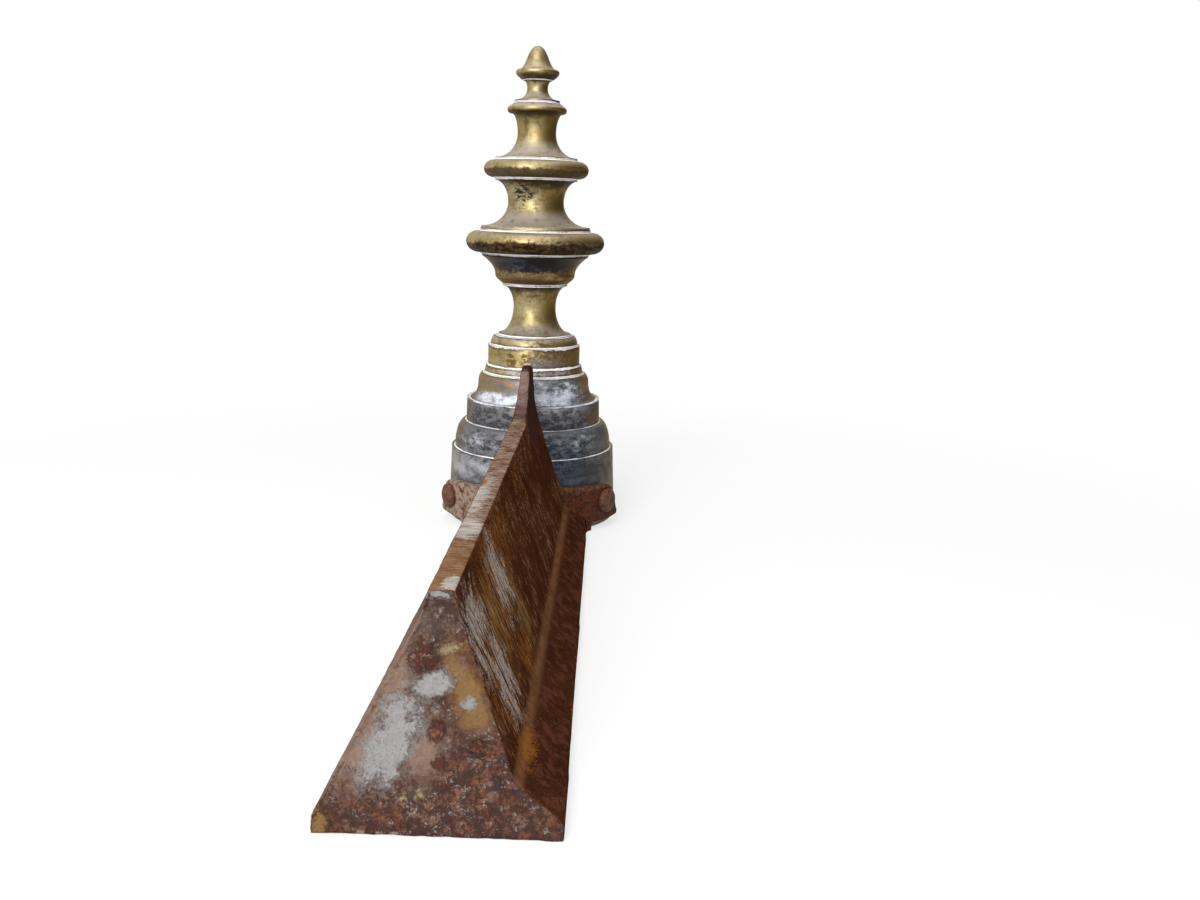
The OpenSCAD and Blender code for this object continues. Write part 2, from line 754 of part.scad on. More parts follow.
// Upright fin that keeps the logs off the brass and rises from the ridge in a hollow sweep
module tongue() {
    root_z = ridge_z - tongue_root_h;
    head_z = ridge_z + tongue_rear_h;
    top_z = ridge_z + tongue_h;
    head_at = (bell_seat_d / 2 + tongue_rear) / 2;
    sweep = bend([rise_start, ridge_z], [rise_bend, ridge_z + rise_bend_h],
                 [tongue_rear, head_z]);
    head = arc(head_at, head_z, tongue_rear - head_at, top_z - head_z, head_from_a, 180);
    side = concat([[iron_start_r, root_z], [rise_start, root_z]], sweep, head,
                  [[iron_start_r, head_z]]);
    section = both_sides(concat([[ridge_w / 2, root_z], [ridge_w / 2, ridge_z - past],
                                 [tongue_root_t / 2, ridge_z + tongue_root_h]],
                                arc(0, top_z - tongue_t / 2, tongue_t / 2, tongue_t / 2, 0,
                                    tongue_top_a)));
    intersection() {
        translate([-ridge_w, column_y, 0]) rotate([90, 0, 90])
            linear_extrude(height = 2 * ridge_w) polygon(side);
        translate([0, column_y + bar_reach, 0]) rotate([90, 0, 0])
            linear_extrude(height = bar_reach) polygon(section);
    }
}

// One side of the curved band round the back of the drum, which ends in an ear
module saddle(side) {
    middle = -saddle_r * sin(ear_angle);
    outline = concat(
        [[middle, saddle_z]],
        arc(ear_end - ear_corner_r, saddle_z + ear_corner_r, ear_corner_r, ear_corner_r, -90,
            ear_round_a),
        arc(0, ear_z, ear_r, ear_r, ear_round_a, 90),
        [[middle, saddle_top_z]]);
    intersection() {
        bore(2 * saddle_r, saddle_z, saddle_top_z);
        at_ear(side) linear_extrude(height = saddle_r + past)
            polygon([for (p = outline) [side * p[0], ear_z - p[1]]]);
    }
}

// Fillet between the saddle and the upright edge of one foot
module fillet(side) {
    foot_r = foot_front_w / 2 + (foot_w - foot_front_w) / 2 * saddle_r / bar_reach;
    at_r = saddle_r + fillet_r - fillet_bite;
    at_x = foot_r + fillet_r - fillet_bite;
    at_y = sqrt(at_r * at_r - at_x * at_x);
    inside = (saddle_r - past) / at_r;
    translate([0, column_y, 0]) difference() {
        linear_extrude(height = foot_edge_h)
            polygon([[0, 0], [side * at_x * inside, at_y * inside], [side * at_x, at_y],
                     [side * (foot_r - past), at_y]]);
        translate([side * at_x, at_y, -past]) cylinder(r = fillet_r, h = foot_edge_h + 2 * past);
    }
}

module log_bar() {
    color(rust) difference() {
        union() {
            billet();
            tongue();
            for (side = [-1, 1]) {
                saddle(side);
                fillet(side);
            }
        }
        brass_space();
        for (side = [-1, 1]) {
            ear_hole(side);
            ear_disc(side, ear_head_d + 2 * hole_gap, ear_face_r, saddle_r + past);
        }
    }
}

module ear_screws() {
    face = ear_head_t - ear_crown_h;
    color(rust) for (side = [-1, 1]) {
        ear_disc(side, ear_screw_d, ear_screw_end, ear_face_r + past);
        at_ear(side) translate([0, 0, ear_face_r])
            rotate_extrude() polygon(concat([[0, 0], [ear_head_d / 2, 0]],
                ovolo_in(ear_head_d / 2, face, ear_crown_d / 2, ear_head_t),
                [[0, ear_head_t]]));
    }
}

module ear_washers() {
    color(dark_iron) for (side = [-1, 1]) difference() {
        ear_disc(side, ear_washer_d, ear_nut_face, ear_washer_face);
        ear_disc(side, ear_hole_d, ear_nut_face - past, ear_washer_face + past);
    }
}

module ear_nuts() {
    color(dark_iron) for (side = [-1, 1]) difference() {
        at_ear(side) translate([-ear_nut_w / 2, -ear_nut_w / 2, ear_nut_face - ear_nut_t])
            cube([ear_nut_w, ear_nut_w, ear_nut_t]);
        ear_disc(side, ear_screw_d + 2 * thread_gap, ear_nut_face - ear_nut_t - past,
                 ear_nut_face + past);
    }
}

base_drum();
ogee_bell();
upper_drum();
cap_ring();
neck();
bowl();
great_ring();
middle_spool();
upper_ring();
upper_spool();
tip_collar();
tip_nut();
tie_rod();
bridge_bar();
rod_washer();
rod_nut();
log_bar();
ear_screws();
ear_washers();
ear_nuts();
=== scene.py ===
import math
import bpy
import bmesh
from mathutils import Matrix, Vector


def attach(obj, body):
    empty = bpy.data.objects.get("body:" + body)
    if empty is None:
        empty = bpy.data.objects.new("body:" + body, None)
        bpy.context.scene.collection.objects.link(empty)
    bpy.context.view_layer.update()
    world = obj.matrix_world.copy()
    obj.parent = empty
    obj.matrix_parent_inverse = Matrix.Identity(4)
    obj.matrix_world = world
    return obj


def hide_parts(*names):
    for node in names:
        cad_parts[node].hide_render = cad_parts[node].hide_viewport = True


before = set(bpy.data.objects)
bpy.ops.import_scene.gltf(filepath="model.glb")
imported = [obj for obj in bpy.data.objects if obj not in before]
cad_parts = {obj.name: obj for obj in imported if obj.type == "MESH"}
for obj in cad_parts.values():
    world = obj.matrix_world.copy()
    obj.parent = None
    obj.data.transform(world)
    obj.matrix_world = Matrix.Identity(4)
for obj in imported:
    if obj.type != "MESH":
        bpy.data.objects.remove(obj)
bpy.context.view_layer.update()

# Andiron: turned brass column and a rusty log bar, in metres. The brass looks to -Y, the bar runs to +Y.
# The dictionaries give sizes and places in millimetres, angles in degrees and colours as linear values,
# except those of the floor, light and camera at the end.

mm = 0.001
columnY = -0.186734  # the column's axis
flat = (0, 0, 0)
scene = bpy.context.scene


def clearSelection():
    if bpy.context.mode != "OBJECT":
        bpy.ops.object.mode_set(mode="OBJECT")
    bpy.ops.object.select_all(action="DESELECT")


def pickOnly(piece):
    clearSelection()
    piece.select_set(True)
    bpy.context.view_layer.objects.active = piece


def modify(piece, kind, **settings):  # add a modifier, set it and apply it
    pickOnly(piece)
    bpy.ops.object.modifier_add(type=kind)
    modifier = piece.modifiers[-1]
    for key, value in settings.items():
        setattr(modifier, key, value)
    bpy.ops.object.modifier_apply(modifier=modifier.name)


def ramp(value, start, run):  # 0 up to start, 1 from start + run on
    return max(0, min(1, (value - start) / run))


# Outlines of the turned sections: points of radius and height, from the floor up.

def arc(r, z, halfR, halfZ, start, end, steps=12):
    angles = [math.radians(start + (end - start) * i / steps) for i in range(steps + 1)]
    return [(r + halfR * math.cos(a), z + halfZ * math.sin(a)) for a in angles]


def coveIn(wide, z0, narrow, z1):  # hollow that rises from a wide foot to a waist
    return arc(wide, z1, wide - narrow, z1 - z0, 270, 180)


def coveOut(narrow, z0, wide, z1):  # hollow that rises from a waist to a wide lip
    return arc(wide, z0, wide - narrow, z1 - z0, 180, 90)


def ovoloIn(wide, z0, narrow, z1):  # round shoulder that rises from a wide foot
    return arc(narrow, z0, wide - narrow, z1 - z0, 0, 90)


def bend(start, pull, end, steps=12):  # curve that a third point pulls towards itself
    shares = [i / steps for i in range(steps + 1)]
    return [tuple((1 - k) ** 2 * a + 2 * (1 - k) * k * b + k * k * c for a, b, c in zip(start, pull, end))
            for k in shares]


spigot = dict(wall=2.2, long=3)  # the ring under a section that sits in the one below


def ringSpigot(seat, boreR, spigotIn):
    low, out = seat - spigot["long"], spigotIn + spigot["wall"]
    return [(boreR, seat), (spigotIn, seat), (spigotIn, low), (out, low), (out, seat)]


def plugSpigot(seat, holeR, spigotR):
    low = seat - spigot["long"]
    return [(holeR, low), (spigotR, low), (spigotR, seat)]


baseDrum = dict(footR=61.6, topR=59.3, straight=51, bevel=1.5, height=70, shoulderR=57, seatR=49.6, wall=4.2,
                shelf=56, shelfW=3.4, mouthR=42, mouthH=4.2)


def drawBaseDrum(footR, topR, straight, bevel, height, shoulderR, seatR, wall, shelf, shelfW, mouthR, mouthH):
    lean = (topR - footR) / straight
    shelfR = footR + lean * shelf - wall
    return [(footR - bevel, 0), (footR + lean * bevel, bevel), (topR, straight),
            *ovoloIn(shoulderR, straight, seatR, height), (mouthR, height), (mouthR, height - mouthH),
            (shelfR - shelfW, shelf), (shelfR, shelf), (footR - wall, 0)]


ogeeBell = dict(seat=70, height=35, boreR=38, spigotIn=39.5, seatR=48.8, drumR=48.2, drumH=16.5, footR=46.2,
                turnR=40.2, turnH=28, topR=36.2, mouthR=30)


def drawOgeeBell(seat, height, boreR, spigotIn, seatR, drumR, drumH, footR, turnR, turnH, topR, mouthR):
    top, drumZ, turnZ = seat + height, seat + drumH, seat + turnH
    return [*ringSpigot(seat, boreR, spigotIn), (seatR, seat), (drumR, drumZ),
            *coveIn(footR, drumZ, turnR, turnZ), *ovoloIn(turnR, turnZ, topR, top)[1:], (mouthR, top),
            (mouthR, turnZ), (boreR, drumZ)]


upperDrum = dict(seat=105, height=20, boreR=26, spigotIn=27.5, beadFootR=35.8, beadTopR=34.6, beadH=5.6,
                 drumR=33.2, webT=3.5, mouthR=20)


def drawUpperDrum(seat, height, boreR, spigotIn, beadFootR, beadTopR, beadH, drumR, webT, mouthR):
    top, beadZ = seat + height, seat + beadH
    return [*ringSpigot(seat, boreR, spigotIn), (beadFootR, seat), (beadTopR, beadZ), (drumR, beadZ),
            (drumR, top), (mouthR, top), (mouthR, top - webT), (boreR, top - webT)]


capRing = dict(seat=125, height=7, boreR=14, spigotIn=17.5, footR=31.5, topR=27.6)


def drawCapRing(seat, height, boreR, spigotIn, footR, topR):
    top = seat + height
    return [*ringSpigot(seat, boreR, spigotIn), *ovoloIn(footR, seat, topR, top), (boreR, top)]


neck = dict(seat=132, height=36.5, boreR=9, spigotIn=11.5, footR=26.4, lip=1.2, waistR=15.2, waistShare=0.55,
            topR=23.3)


def drawNeck(seat, height, boreR, spigotIn, footR, lip, waistR, waistShare, topR):
    top, waist = seat + height, seat + height * waistShare
    return [*ringSpigot(seat, boreR, spigotIn), (footR, seat), *coveIn(footR, seat + lip, waistR, waist),
            *coveOut(waistR, waist, topR, top - lip)[1:], (topR, top), (boreR, top)]


bowl = dict(seat=168.5, height=21, holeR=4.3, spigotR=8.7, footR=23.2, swellR=28.5, swellH=6.5, edgeR=4.4,
            edgeFrom=-60, rimR=38, rimH=1.5, mouthR=31, mouthIn=28.8, mouthH=3.3, hollowR=24.3, floorR=19,
            webT=4, flareSteps=14)


def drawBowl(seat, height, holeR, spigotR, footR, swellR, swellH, edgeR, edgeFrom, rimR, rimH, mouthR, mouthIn,
             mouthH, hollowR, floorR, webT, flareSteps):
    top, swellZ = seat + height, seat + swellH
    rise = top - rimH - seat - swellH
    flare = [(swellR + (rimR - swellR) * (i / flareSteps) ** 2, swellZ + rise * i / flareSteps)
             for i in range(1, flareSteps + 1)]
    edge = arc(swellR - edgeR, swellZ, edgeR, edgeR, edgeFrom, 0, 8)
    return [*plugSpigot(seat, holeR, spigotR), (footR, seat), *edge, *flare, (rimR, top), (mouthR, top),
            (mouthR, top - mouthH), (mouthIn, top - mouthH), (hollowR, swellZ), (floorR, seat + webT),
            (holeR, seat + webT)]


greatRing = dict(seat=189.5, height=16.5, boreR=26, spigotIn=28.5, filletR=39.3, filletH=0.8, outR=49.1,
                 roundR=8.2)
upperRing = dict(seat=241, height=13.5, boreR=10, spigotIn=11.5, filletR=29.3, filletH=0.8, outR=36.8,
                 roundR=6.8)


def drawRoundRing(seat, height, boreR, spigotIn, filletR, filletH, outR, roundR):
    top = seat + height
    rim = arc(outR - roundR, (seat + top) / 2, roundR, height / 2 - filletH, -90, 90, 24)
    return [*ringSpigot(seat, boreR, spigotIn), (filletR, seat), (filletR, seat + filletH), *rim,
            (filletR, top - filletH), (filletR, top), (boreR, top)]


middleSpool = dict(seat=206, height=35, boreR=14, spigotIn=23.5, footR=39.3, footH=2.8, stepIn=1.4, ledge=0.4,
                   waistR=19.7, waistH=19.4, topR=29.2, lip=0.9)


def drawMiddleSpool(seat, height, boreR, spigotIn, footR, footH, stepIn, ledge, waistR, waistH, topR, lip):
    top, waist, hollowR = seat + height, seat + waistH, footR - stepIn
    return [*ringSpigot(seat, boreR, spigotIn), (footR, seat), (hollowR + ledge, seat + footH),
            *coveIn(hollowR, seat + footH, waistR, waist), *coveOut(waistR, waist, topR, top - lip)[1:],
            (topR, top), (boreR, top)]


upperSpool = dict(seat=254.5, height=38, boreR=7, spigotIn=7.5, footR=28.8, lip=1.2, waistR=13.5, waistH=17.5,
                  discZ=30.8, rootR=18, discR=20.7, edgeH=4.6, edgeRound=2, edgeTo=55, topR=15.8)


def drawUpperSpool(seat, height, boreR, spigotIn, footR, lip, waistR, waistH, discZ, rootR, discR, edgeH,
                   edgeRound, edgeTo, topR):
    top, waist, disc = seat + height, seat + waistH, seat + discZ
    return [*ringSpigot(seat, boreR, spigotIn), (footR, seat), *coveIn(footR, seat + lip, waistR, waist),
            *coveOut(waistR, waist, rootR, disc)[1:],
            *arc(discR - edgeRound, disc + edgeH / 2, edgeRound, edgeH / 2, -90, edgeTo),
            (topR, top), (boreR, top)]


tipCollar = dict(seat=292.5, height=14.5, holeR=4.3, spigotR=6.7, footR=15.8, footH=1.6, waistR=7.2, waistH=9.2,
                 topR=9.8)


def drawTipCollar(seat, height, holeR, spigotR, footR, footH, waistR, waistH, topR):
    top, waist = seat + height, seat + waistH
    return [*plugSpigot(seat, holeR, spigotR), (footR, seat), *coveIn(footR, seat + footH, waistR, waist),
            *coveOut(waistR, waist, topR, top)[1:], (holeR, top)]


tipNut = dict(seat=307, height=23, holeR=4.1, holeH=12.8, footR=10, flangeR=15.1, flangeH=5.2, flangeT=2,
              flangeRound=1.8, flangeTurn=80, underPull=0.63, acornR=12.6, flarePull=0.17, domeR=7.5, domeH=8.2,
              fullness=2.4, domeSteps=18)


def drawTipNut(seat, height, holeR, holeH, footR, flangeR, flangeH, flangeT, flangeRound, flangeTurn, underPull,
               acornR, flarePull, domeR, domeH, fullness, domeSteps):
    top, flangeZ = seat + height, seat + flangeH
    edgeTop, domeZ = flangeZ + flangeT, top - domeH
    flareH = (domeZ - edgeTop) * flarePull
    flareR = domeR * (1 + (domeZ - edgeTop - flareH) / domeH / fullness)
    dome = [(domeR * i / domeSteps, top - domeH * (i / domeSteps) ** fullness)
            for i in range(domeSteps - 1, -1, -1)]
    return [(0, seat + holeH), (holeR, seat + holeH), (holeR, seat),
            *bend((footR, seat), (flangeR, seat + flangeH * underPull), (flangeR, flangeZ)),
            *arc(flangeR - flangeRound, flangeZ, flangeRound, flangeT, 0, flangeTurn)[1:],
            *bend((acornR, edgeTop), (flareR, edgeTop + flareH), (domeR, domeZ)), *dome]


turning = dict(steps=144, edge=0.35, edgeAngle=26, wave=0.18, waveSize=18, smoothAngle=40)
screwHole = dict(r=4.3, z=20, angle=55, deep=40, out=60)

clearSelection()
waveTexture = bpy.data.textures.new("handWave", "CLOUDS")
waveTexture.noise_scale = turning["waveSize"] * mm
waveTexture.noise_depth = 2


def turnPiece(name, outline):
    clearSelection()
    bpy.ops.mesh.primitive_plane_add(size=0.01, location=flat)
    piece = bpy.context.active_object
    piece.name = piece.data.name = name
    bpy.ops.object.mode_set(mode="EDIT")
    bpy.ops.mesh.select_mode(type="VERT")
    bpy.ops.mesh.merge(type="CENTER")  # one point is left, which draws the outline
    points = [Vector((0, columnY - r * mm, z * mm)) for r, z in outline]
    bpy.ops.transform.translate(value=points[0])
    closed = points[1:] + ([points[0]] if outline[0][0] > 0 else [])
    for before, after in zip(points, closed):
        bpy.ops.mesh.extrude_vertices_move(TRANSFORM_OT_translate={"value": after - before})
    bpy.ops.mesh.select_all(action="SELECT")
    bpy.ops.mesh.remove_doubles(threshold=1e-6)
    bpy.ops.mesh.spin(steps=turning["steps"], angle=math.tau, center=(0, columnY, 0), axis=(0, 0, 1))
    bpy.ops.mesh.select_all(action="SELECT")
    bpy.ops.mesh.remove_doubles(threshold=1e-6)
    bpy.ops.mesh.normals_make_consistent(inside=False)
    bpy.ops.object.mode_set(mode="OBJECT")
    return piece


def atEar(side):  # on the column's axis, level with one ear and facing it
    turn = math.radians(screwHole["angle"]) * side
    return Matrix.Translation((0, columnY, screwHole["z"] * mm)) @ Matrix.Rotation(-turn, 4, "Z")


def drillScrewHoles(piece):
    for side in (-1, 1):
        clearSelection()
        bpy.ops.mesh.primitive_cylinder_add(vertices=48, radius=screwHole["r"] * mm,
                                            depth=screwHole["deep"] * mm)
        drill = bpy.context.active_object
        outward = Matrix.Translation((0, screwHole["out"] * mm, 0))
        drill.data.transform(atEar(side) @ outward @ Matrix.Rotation(math.radians(90), 4, "X"))
        modify(piece, "BOOLEAN", object=drill, operation="DIFFERENCE", solver="EXACT")
        bpy.data.objects.remove(drill)


def finishTurning(piece):  # worn edges, then the slight waviness of hand polishing
    modify(piece, "BEVEL", width=turning["edge"] * mm, segments=2, limit_method="ANGLE",
           angle_limit=math.radians(turning["edgeAngle"]))
    modify(piece, "DISPLACE", texture=waveTexture, strength=turning["wave"] * mm, mid_level=1)
    bpy.ops.object.shade_smooth_by_angle(angle=math.radians(turning["smoothAngle"]))


sections = {
    "base_drum": (baseDrum, drawBaseDrum), "ogee_bell": (ogeeBell, drawOgeeBell),
    "upper_drum": (upperDrum, drawUpperDrum), "cap_ring": (capRing, drawCapRing), "neck": (neck, drawNeck),
    "bowl": (bowl, drawBowl), "great_ring": (greatRing, drawRoundRing),
    "middle_spool": (middleSpool, drawMiddleSpool), "upper_ring": (upperRing, drawRoundRing),
    "upper_spool": (upperSpool, drawUpperSpool),
    "tip_collar": (tipCollar, drawTipCollar), "tip_nut": (tipNut, drawTipNut),
}
turned = []
for node, (sizes, draw) in sections.items():
    first, *others = node.split("_")
    piece = turnPiece(first + "".join(word.title() for word in others) + "Brass", draw(**sizes))
    if node == "base_drum":
        drillScrewHoles(piece)
    finishTurning(piece)
    turned.append((node, piece))
print("turned sections ready")


# Shader helpers. They build in the node tree that startGroup or startMaterial opened last.

def put(kind, feeds=(), out=0, **choices):
    made = tree.nodes.new("ShaderNode" + kind)
    for key, value in choices.items():
        setattr(made, key, value)
    for key, value in (feeds.items() if isinstance(feeds, dict) else enumerate(feeds)):
        if isinstance(value, bpy.types.NodeSocket):
            tree.links.new(value, made.inputs[key])
        else:
            made.inputs[key].default_value = value
    return made.outputs[out]


def calc(how, *feeds):
    return put("Math", feeds, operation=how)


def plus(a, b):
    return calc("ADD", a, b)


def minus(a, b):
    return calc("SUBTRACT", a, b)


def times(a, b):
    return calc("MULTIPLY", a, b)


def vector(how, *feeds, out=0):
    return put("VectorMath", feeds, out, operation=how)


def length(value):
    return vector("LENGTH", value, out=1)


def scaleBy(value, factor):
    return put("VectorMath", {0: value, "Scale": factor}, operation="SCALE")


def unturn(value, angles):
    return put("VectorRotate", {"Vector": value, "Rotation": angles}, rotation_type="EULER_XYZ", invert=True)


def axes(value):
    return put("SeparateXYZ", [value]).node.outputs


def step(value, low, high):  # 0 before low, 1 past high, soft between them
    ends = [high, low, 1, 0] if low > high else [low, high, 0, 1]
    return put("MapRange", [value, *ends], interpolation_type="SMOOTHSTEP")


def mixValue(mask, under, over):
    return put("Mix", {0: mask, 2: under, 3: over}, data_type="FLOAT")


def blend(mask, under, over, strength=1):  # one colour over another, as a socket, its values or its name
    mask = mask if strength == 1 else times(mask, strength)
    under, over = (colours[c] if isinstance(c, str) else c for c in (under, over))
    under, over = (c if isinstance(c, bpy.types.NodeSocket) else (*c, 1) for c in (under, over))
    return put("Mix", {0: mask, 6: under, 7: over}, out=2, data_type="RGBA")


def noise(coords, scale, detail, rough, warp=0, out=0):
    return put("TexNoise", {"Vector": coords, "Scale": scale, "Detail": detail, "Roughness": rough,
                            "Distortion": warp}, out)


def startGroup(name, takes, gives):
    global tree
    tree = bpy.data.node_groups.new(name, "ShaderNodeTree")
    for label, value in takes.items():
        kind = "Vector" if isinstance(value, tuple) else "Float"
        tree.interface.new_socket(label, in_out="INPUT", socket_type="NodeSocket" + kind).default_value = value
    for label in gives:
        tree.interface.new_socket(label, in_out="OUTPUT", socket_type="NodeSocketFloat")
    return tree.nodes.new("NodeGroupInput").outputs, tree.nodes.new("NodeGroupOutput").inputs


def useGroup(group, coords, **feeds):
    return put("Group", {"coords": coords, **feeds}, node_tree=group).node.outputs


def startMaterial(name, specular):
    global tree
    material = bpy.data.materials.new(name)
    material.use_nodes = True
    tree = material.node_tree
    shader = tree.nodes["Principled BSDF"].inputs
    shader["Specular IOR Level"].default_value = specular
    return material, shader, put("TexCoord", out=3)


def finishMaterial(shader, colour, rough, height, depth, metal=None):
    tree.links.new(colour, shader["Base Color"])
    tree.links.new(rough, shader["Roughness"])
    if metal is not None:
        tree.links.new(metal, shader["Metallic"])
    tree.links.new(put("Bump", {"Height": height, "Distance": depth, "Strength": 1}), shader["Normal"])


def makeSeamGroup():  # pale polish that has dried in a turned groove, and the dirt beside it
    takes, gives = startGroup(
        "driedPolish", dict(coords=flat, radius=0.03, height=0.1, width=0.001, breakup=0.4), ["mask", "dirt"])
    coords = takes["coords"]
    across = vector("MULTIPLY", vector("SUBTRACT", coords, (0, columnY, 0)), (1, 1, 0))
    offR = minus(length(across), takes["radius"])
    offZ = minus(axes(coords)[2], takes["height"])
    far = calc("SQRT", plus(times(offR, offR), times(offZ, offZ)))
    uneven = plus(minus(noise(coords, 520, 4, 0.7), 0.52), minus(noise(coords, 70, 2, 0.5), 0.5))
    reach = plus(1, times(uneven, times(takes["breakup"], 4)))
    share = calc("DIVIDE", far, calc("MAXIMUM", times(takes["width"], reach), 0.00005))
    tree.links.new(step(share, 1.0, 0.6), gives["mask"])
    tree.links.new(step(share, 2.1, 1.1), gives["dirt"])
    return tree


def makePatchGroup():  # one ragged patch with a place, a size and a turn
    takes, gives = startGroup("raggedPatch", dict(coords=flat, place=flat, turn=flat, size=(0.01, 0.01, 0.01),
                                                  grain=250, ragged=0.5, soft=0.15, speck=0.8), ["mask"])
    local = unturn(vector("SUBTRACT", takes["coords"], takes["place"]), takes["turn"])
    shake = noise(scaleBy(local, takes["grain"]), 1, 4, 0.62, out=1)
    shake = scaleBy(vector("SUBTRACT", shake, (0.5, 0.5, 0.5)), times(takes["ragged"], 4))
    far = length(vector("ADD", vector("DIVIDE", local, takes["size"]), shake))
    fade = calc("DIVIDE", minus(1, far), takes["soft"])
    fine = minus(noise(takes["coords"], 950, 4, 0.75), 0.5)
    fade = plus(fade, times(fine, times(takes["speck"], 6)))
    tree.links.new(put("Clamp", [plus(fade, 0.5)]), gives["mask"])
    return tree


def makePitGroup():  # scattered dark pits, in patches
    takes, gives = startGroup("darkPits", dict(coords=flat, scale=700, amount=0.4, area=60), ["mask"])
    fine = noise(takes["coords"], takes["scale"], 5, 0.7)
    area = noise(takes["coords"], takes["area"], 3, 0.6)
    gate = minus(0.76, times(takes["amount"], 0.3))
    over = calc("DIVIDE", minus(plus(times(fine, 0.6), times(area, 0.4)), gate), 0.03)
    tree.links.new(put("Clamp", [over]), gives["mask"])
    return tree


def makeStreakGroup():  # broad streaks down a flank, and fine hairs
    takes, gives = startGroup("flankStreaks", dict(coords=flat, turn=flat, length=0.03, width=0.002),
                              ["streak", "hair"])
    size = put("CombineXYZ", [takes["width"], takes["width"], takes["length"]])
    run = vector("DIVIDE", unturn(takes["coords"], takes["turn"]), size)
    tree.links.new(noise(run, 1, 5, 0.65), gives["streak"])
    tree.links.new(noise(vector("MULTIPLY", run, (3.4, 3.4, 1.5)), 1, 3, 0.6), gives["hair"])
    return tree


def makeScaleGroup():  # flaky rust: lumps, pits between them and flakes of different colour
    takes, gives = startGroup("rustScale", dict(coords=flat, size=0.004), ["height", "flake", "pit"])
    near = scaleBy(takes["coords"], calc("DIVIDE", 1, takes["size"]))
    bent = vector("ADD", near, noise(near, 1.3, 3, 0.6, out=1))
    cells = put("TexVoronoi", {"Vector": bent, "Scale": 1, "Smoothness": 0.45}, feature="SMOOTH_F1")
    cells = cells.node.outputs
    height = plus(times(minus(1, cells["Distance"]), 0.5), times(noise(near, 3.1, 6, 0.68), 0.7))
    height = plus(height, times(noise(near, 0.45, 3, 0.6), 0.4))
    flake = mixValue(0.5, put("SeparateColor", [cells["Color"]]), noise(near, 0.9, 4, 0.6))
    tree.links.new(height, gives["height"])
    tree.links.new(flake, gives["flake"])
    tree.links.new(step(height, 0.62, 0.46), gives["pit"])
    return tree


seamGroup = makeSeamGroup()
patchGroup = makePatchGroup()
pitGroup = makePitGroup()
streakGroup = makeStreakGroup()
scaleGroup = makeScaleGroup()
print("shader groups ready")


def joinMasks(masks):
    total = masks[0]
    for mask in masks[1:]:
        total = calc("MAXIMUM", total, mask)
    return total


def patch(coords, place, size, grain=140, ragged=0.4, soft=0.4, speck=0.8, turn=flat):
    place, size, turn = [v * mm for v in place], [v * mm for v in size], [math.radians(v) for v in turn]
    return useGroup(patchGroup, coords, place=place, size=size, turn=turn, grain=grain, ragged=ragged,
                    soft=soft, speck=speck)["mask"]


def patches(coords, spots, strength=1):
    mask = joinMasks([patch(coords, *spot) for spot in spots])
    return mask if strength == 1 else times(mask, strength)


# Brass. A spot is a place, a size, then its grain, raggedness, softness and speckle where they aren't usual.

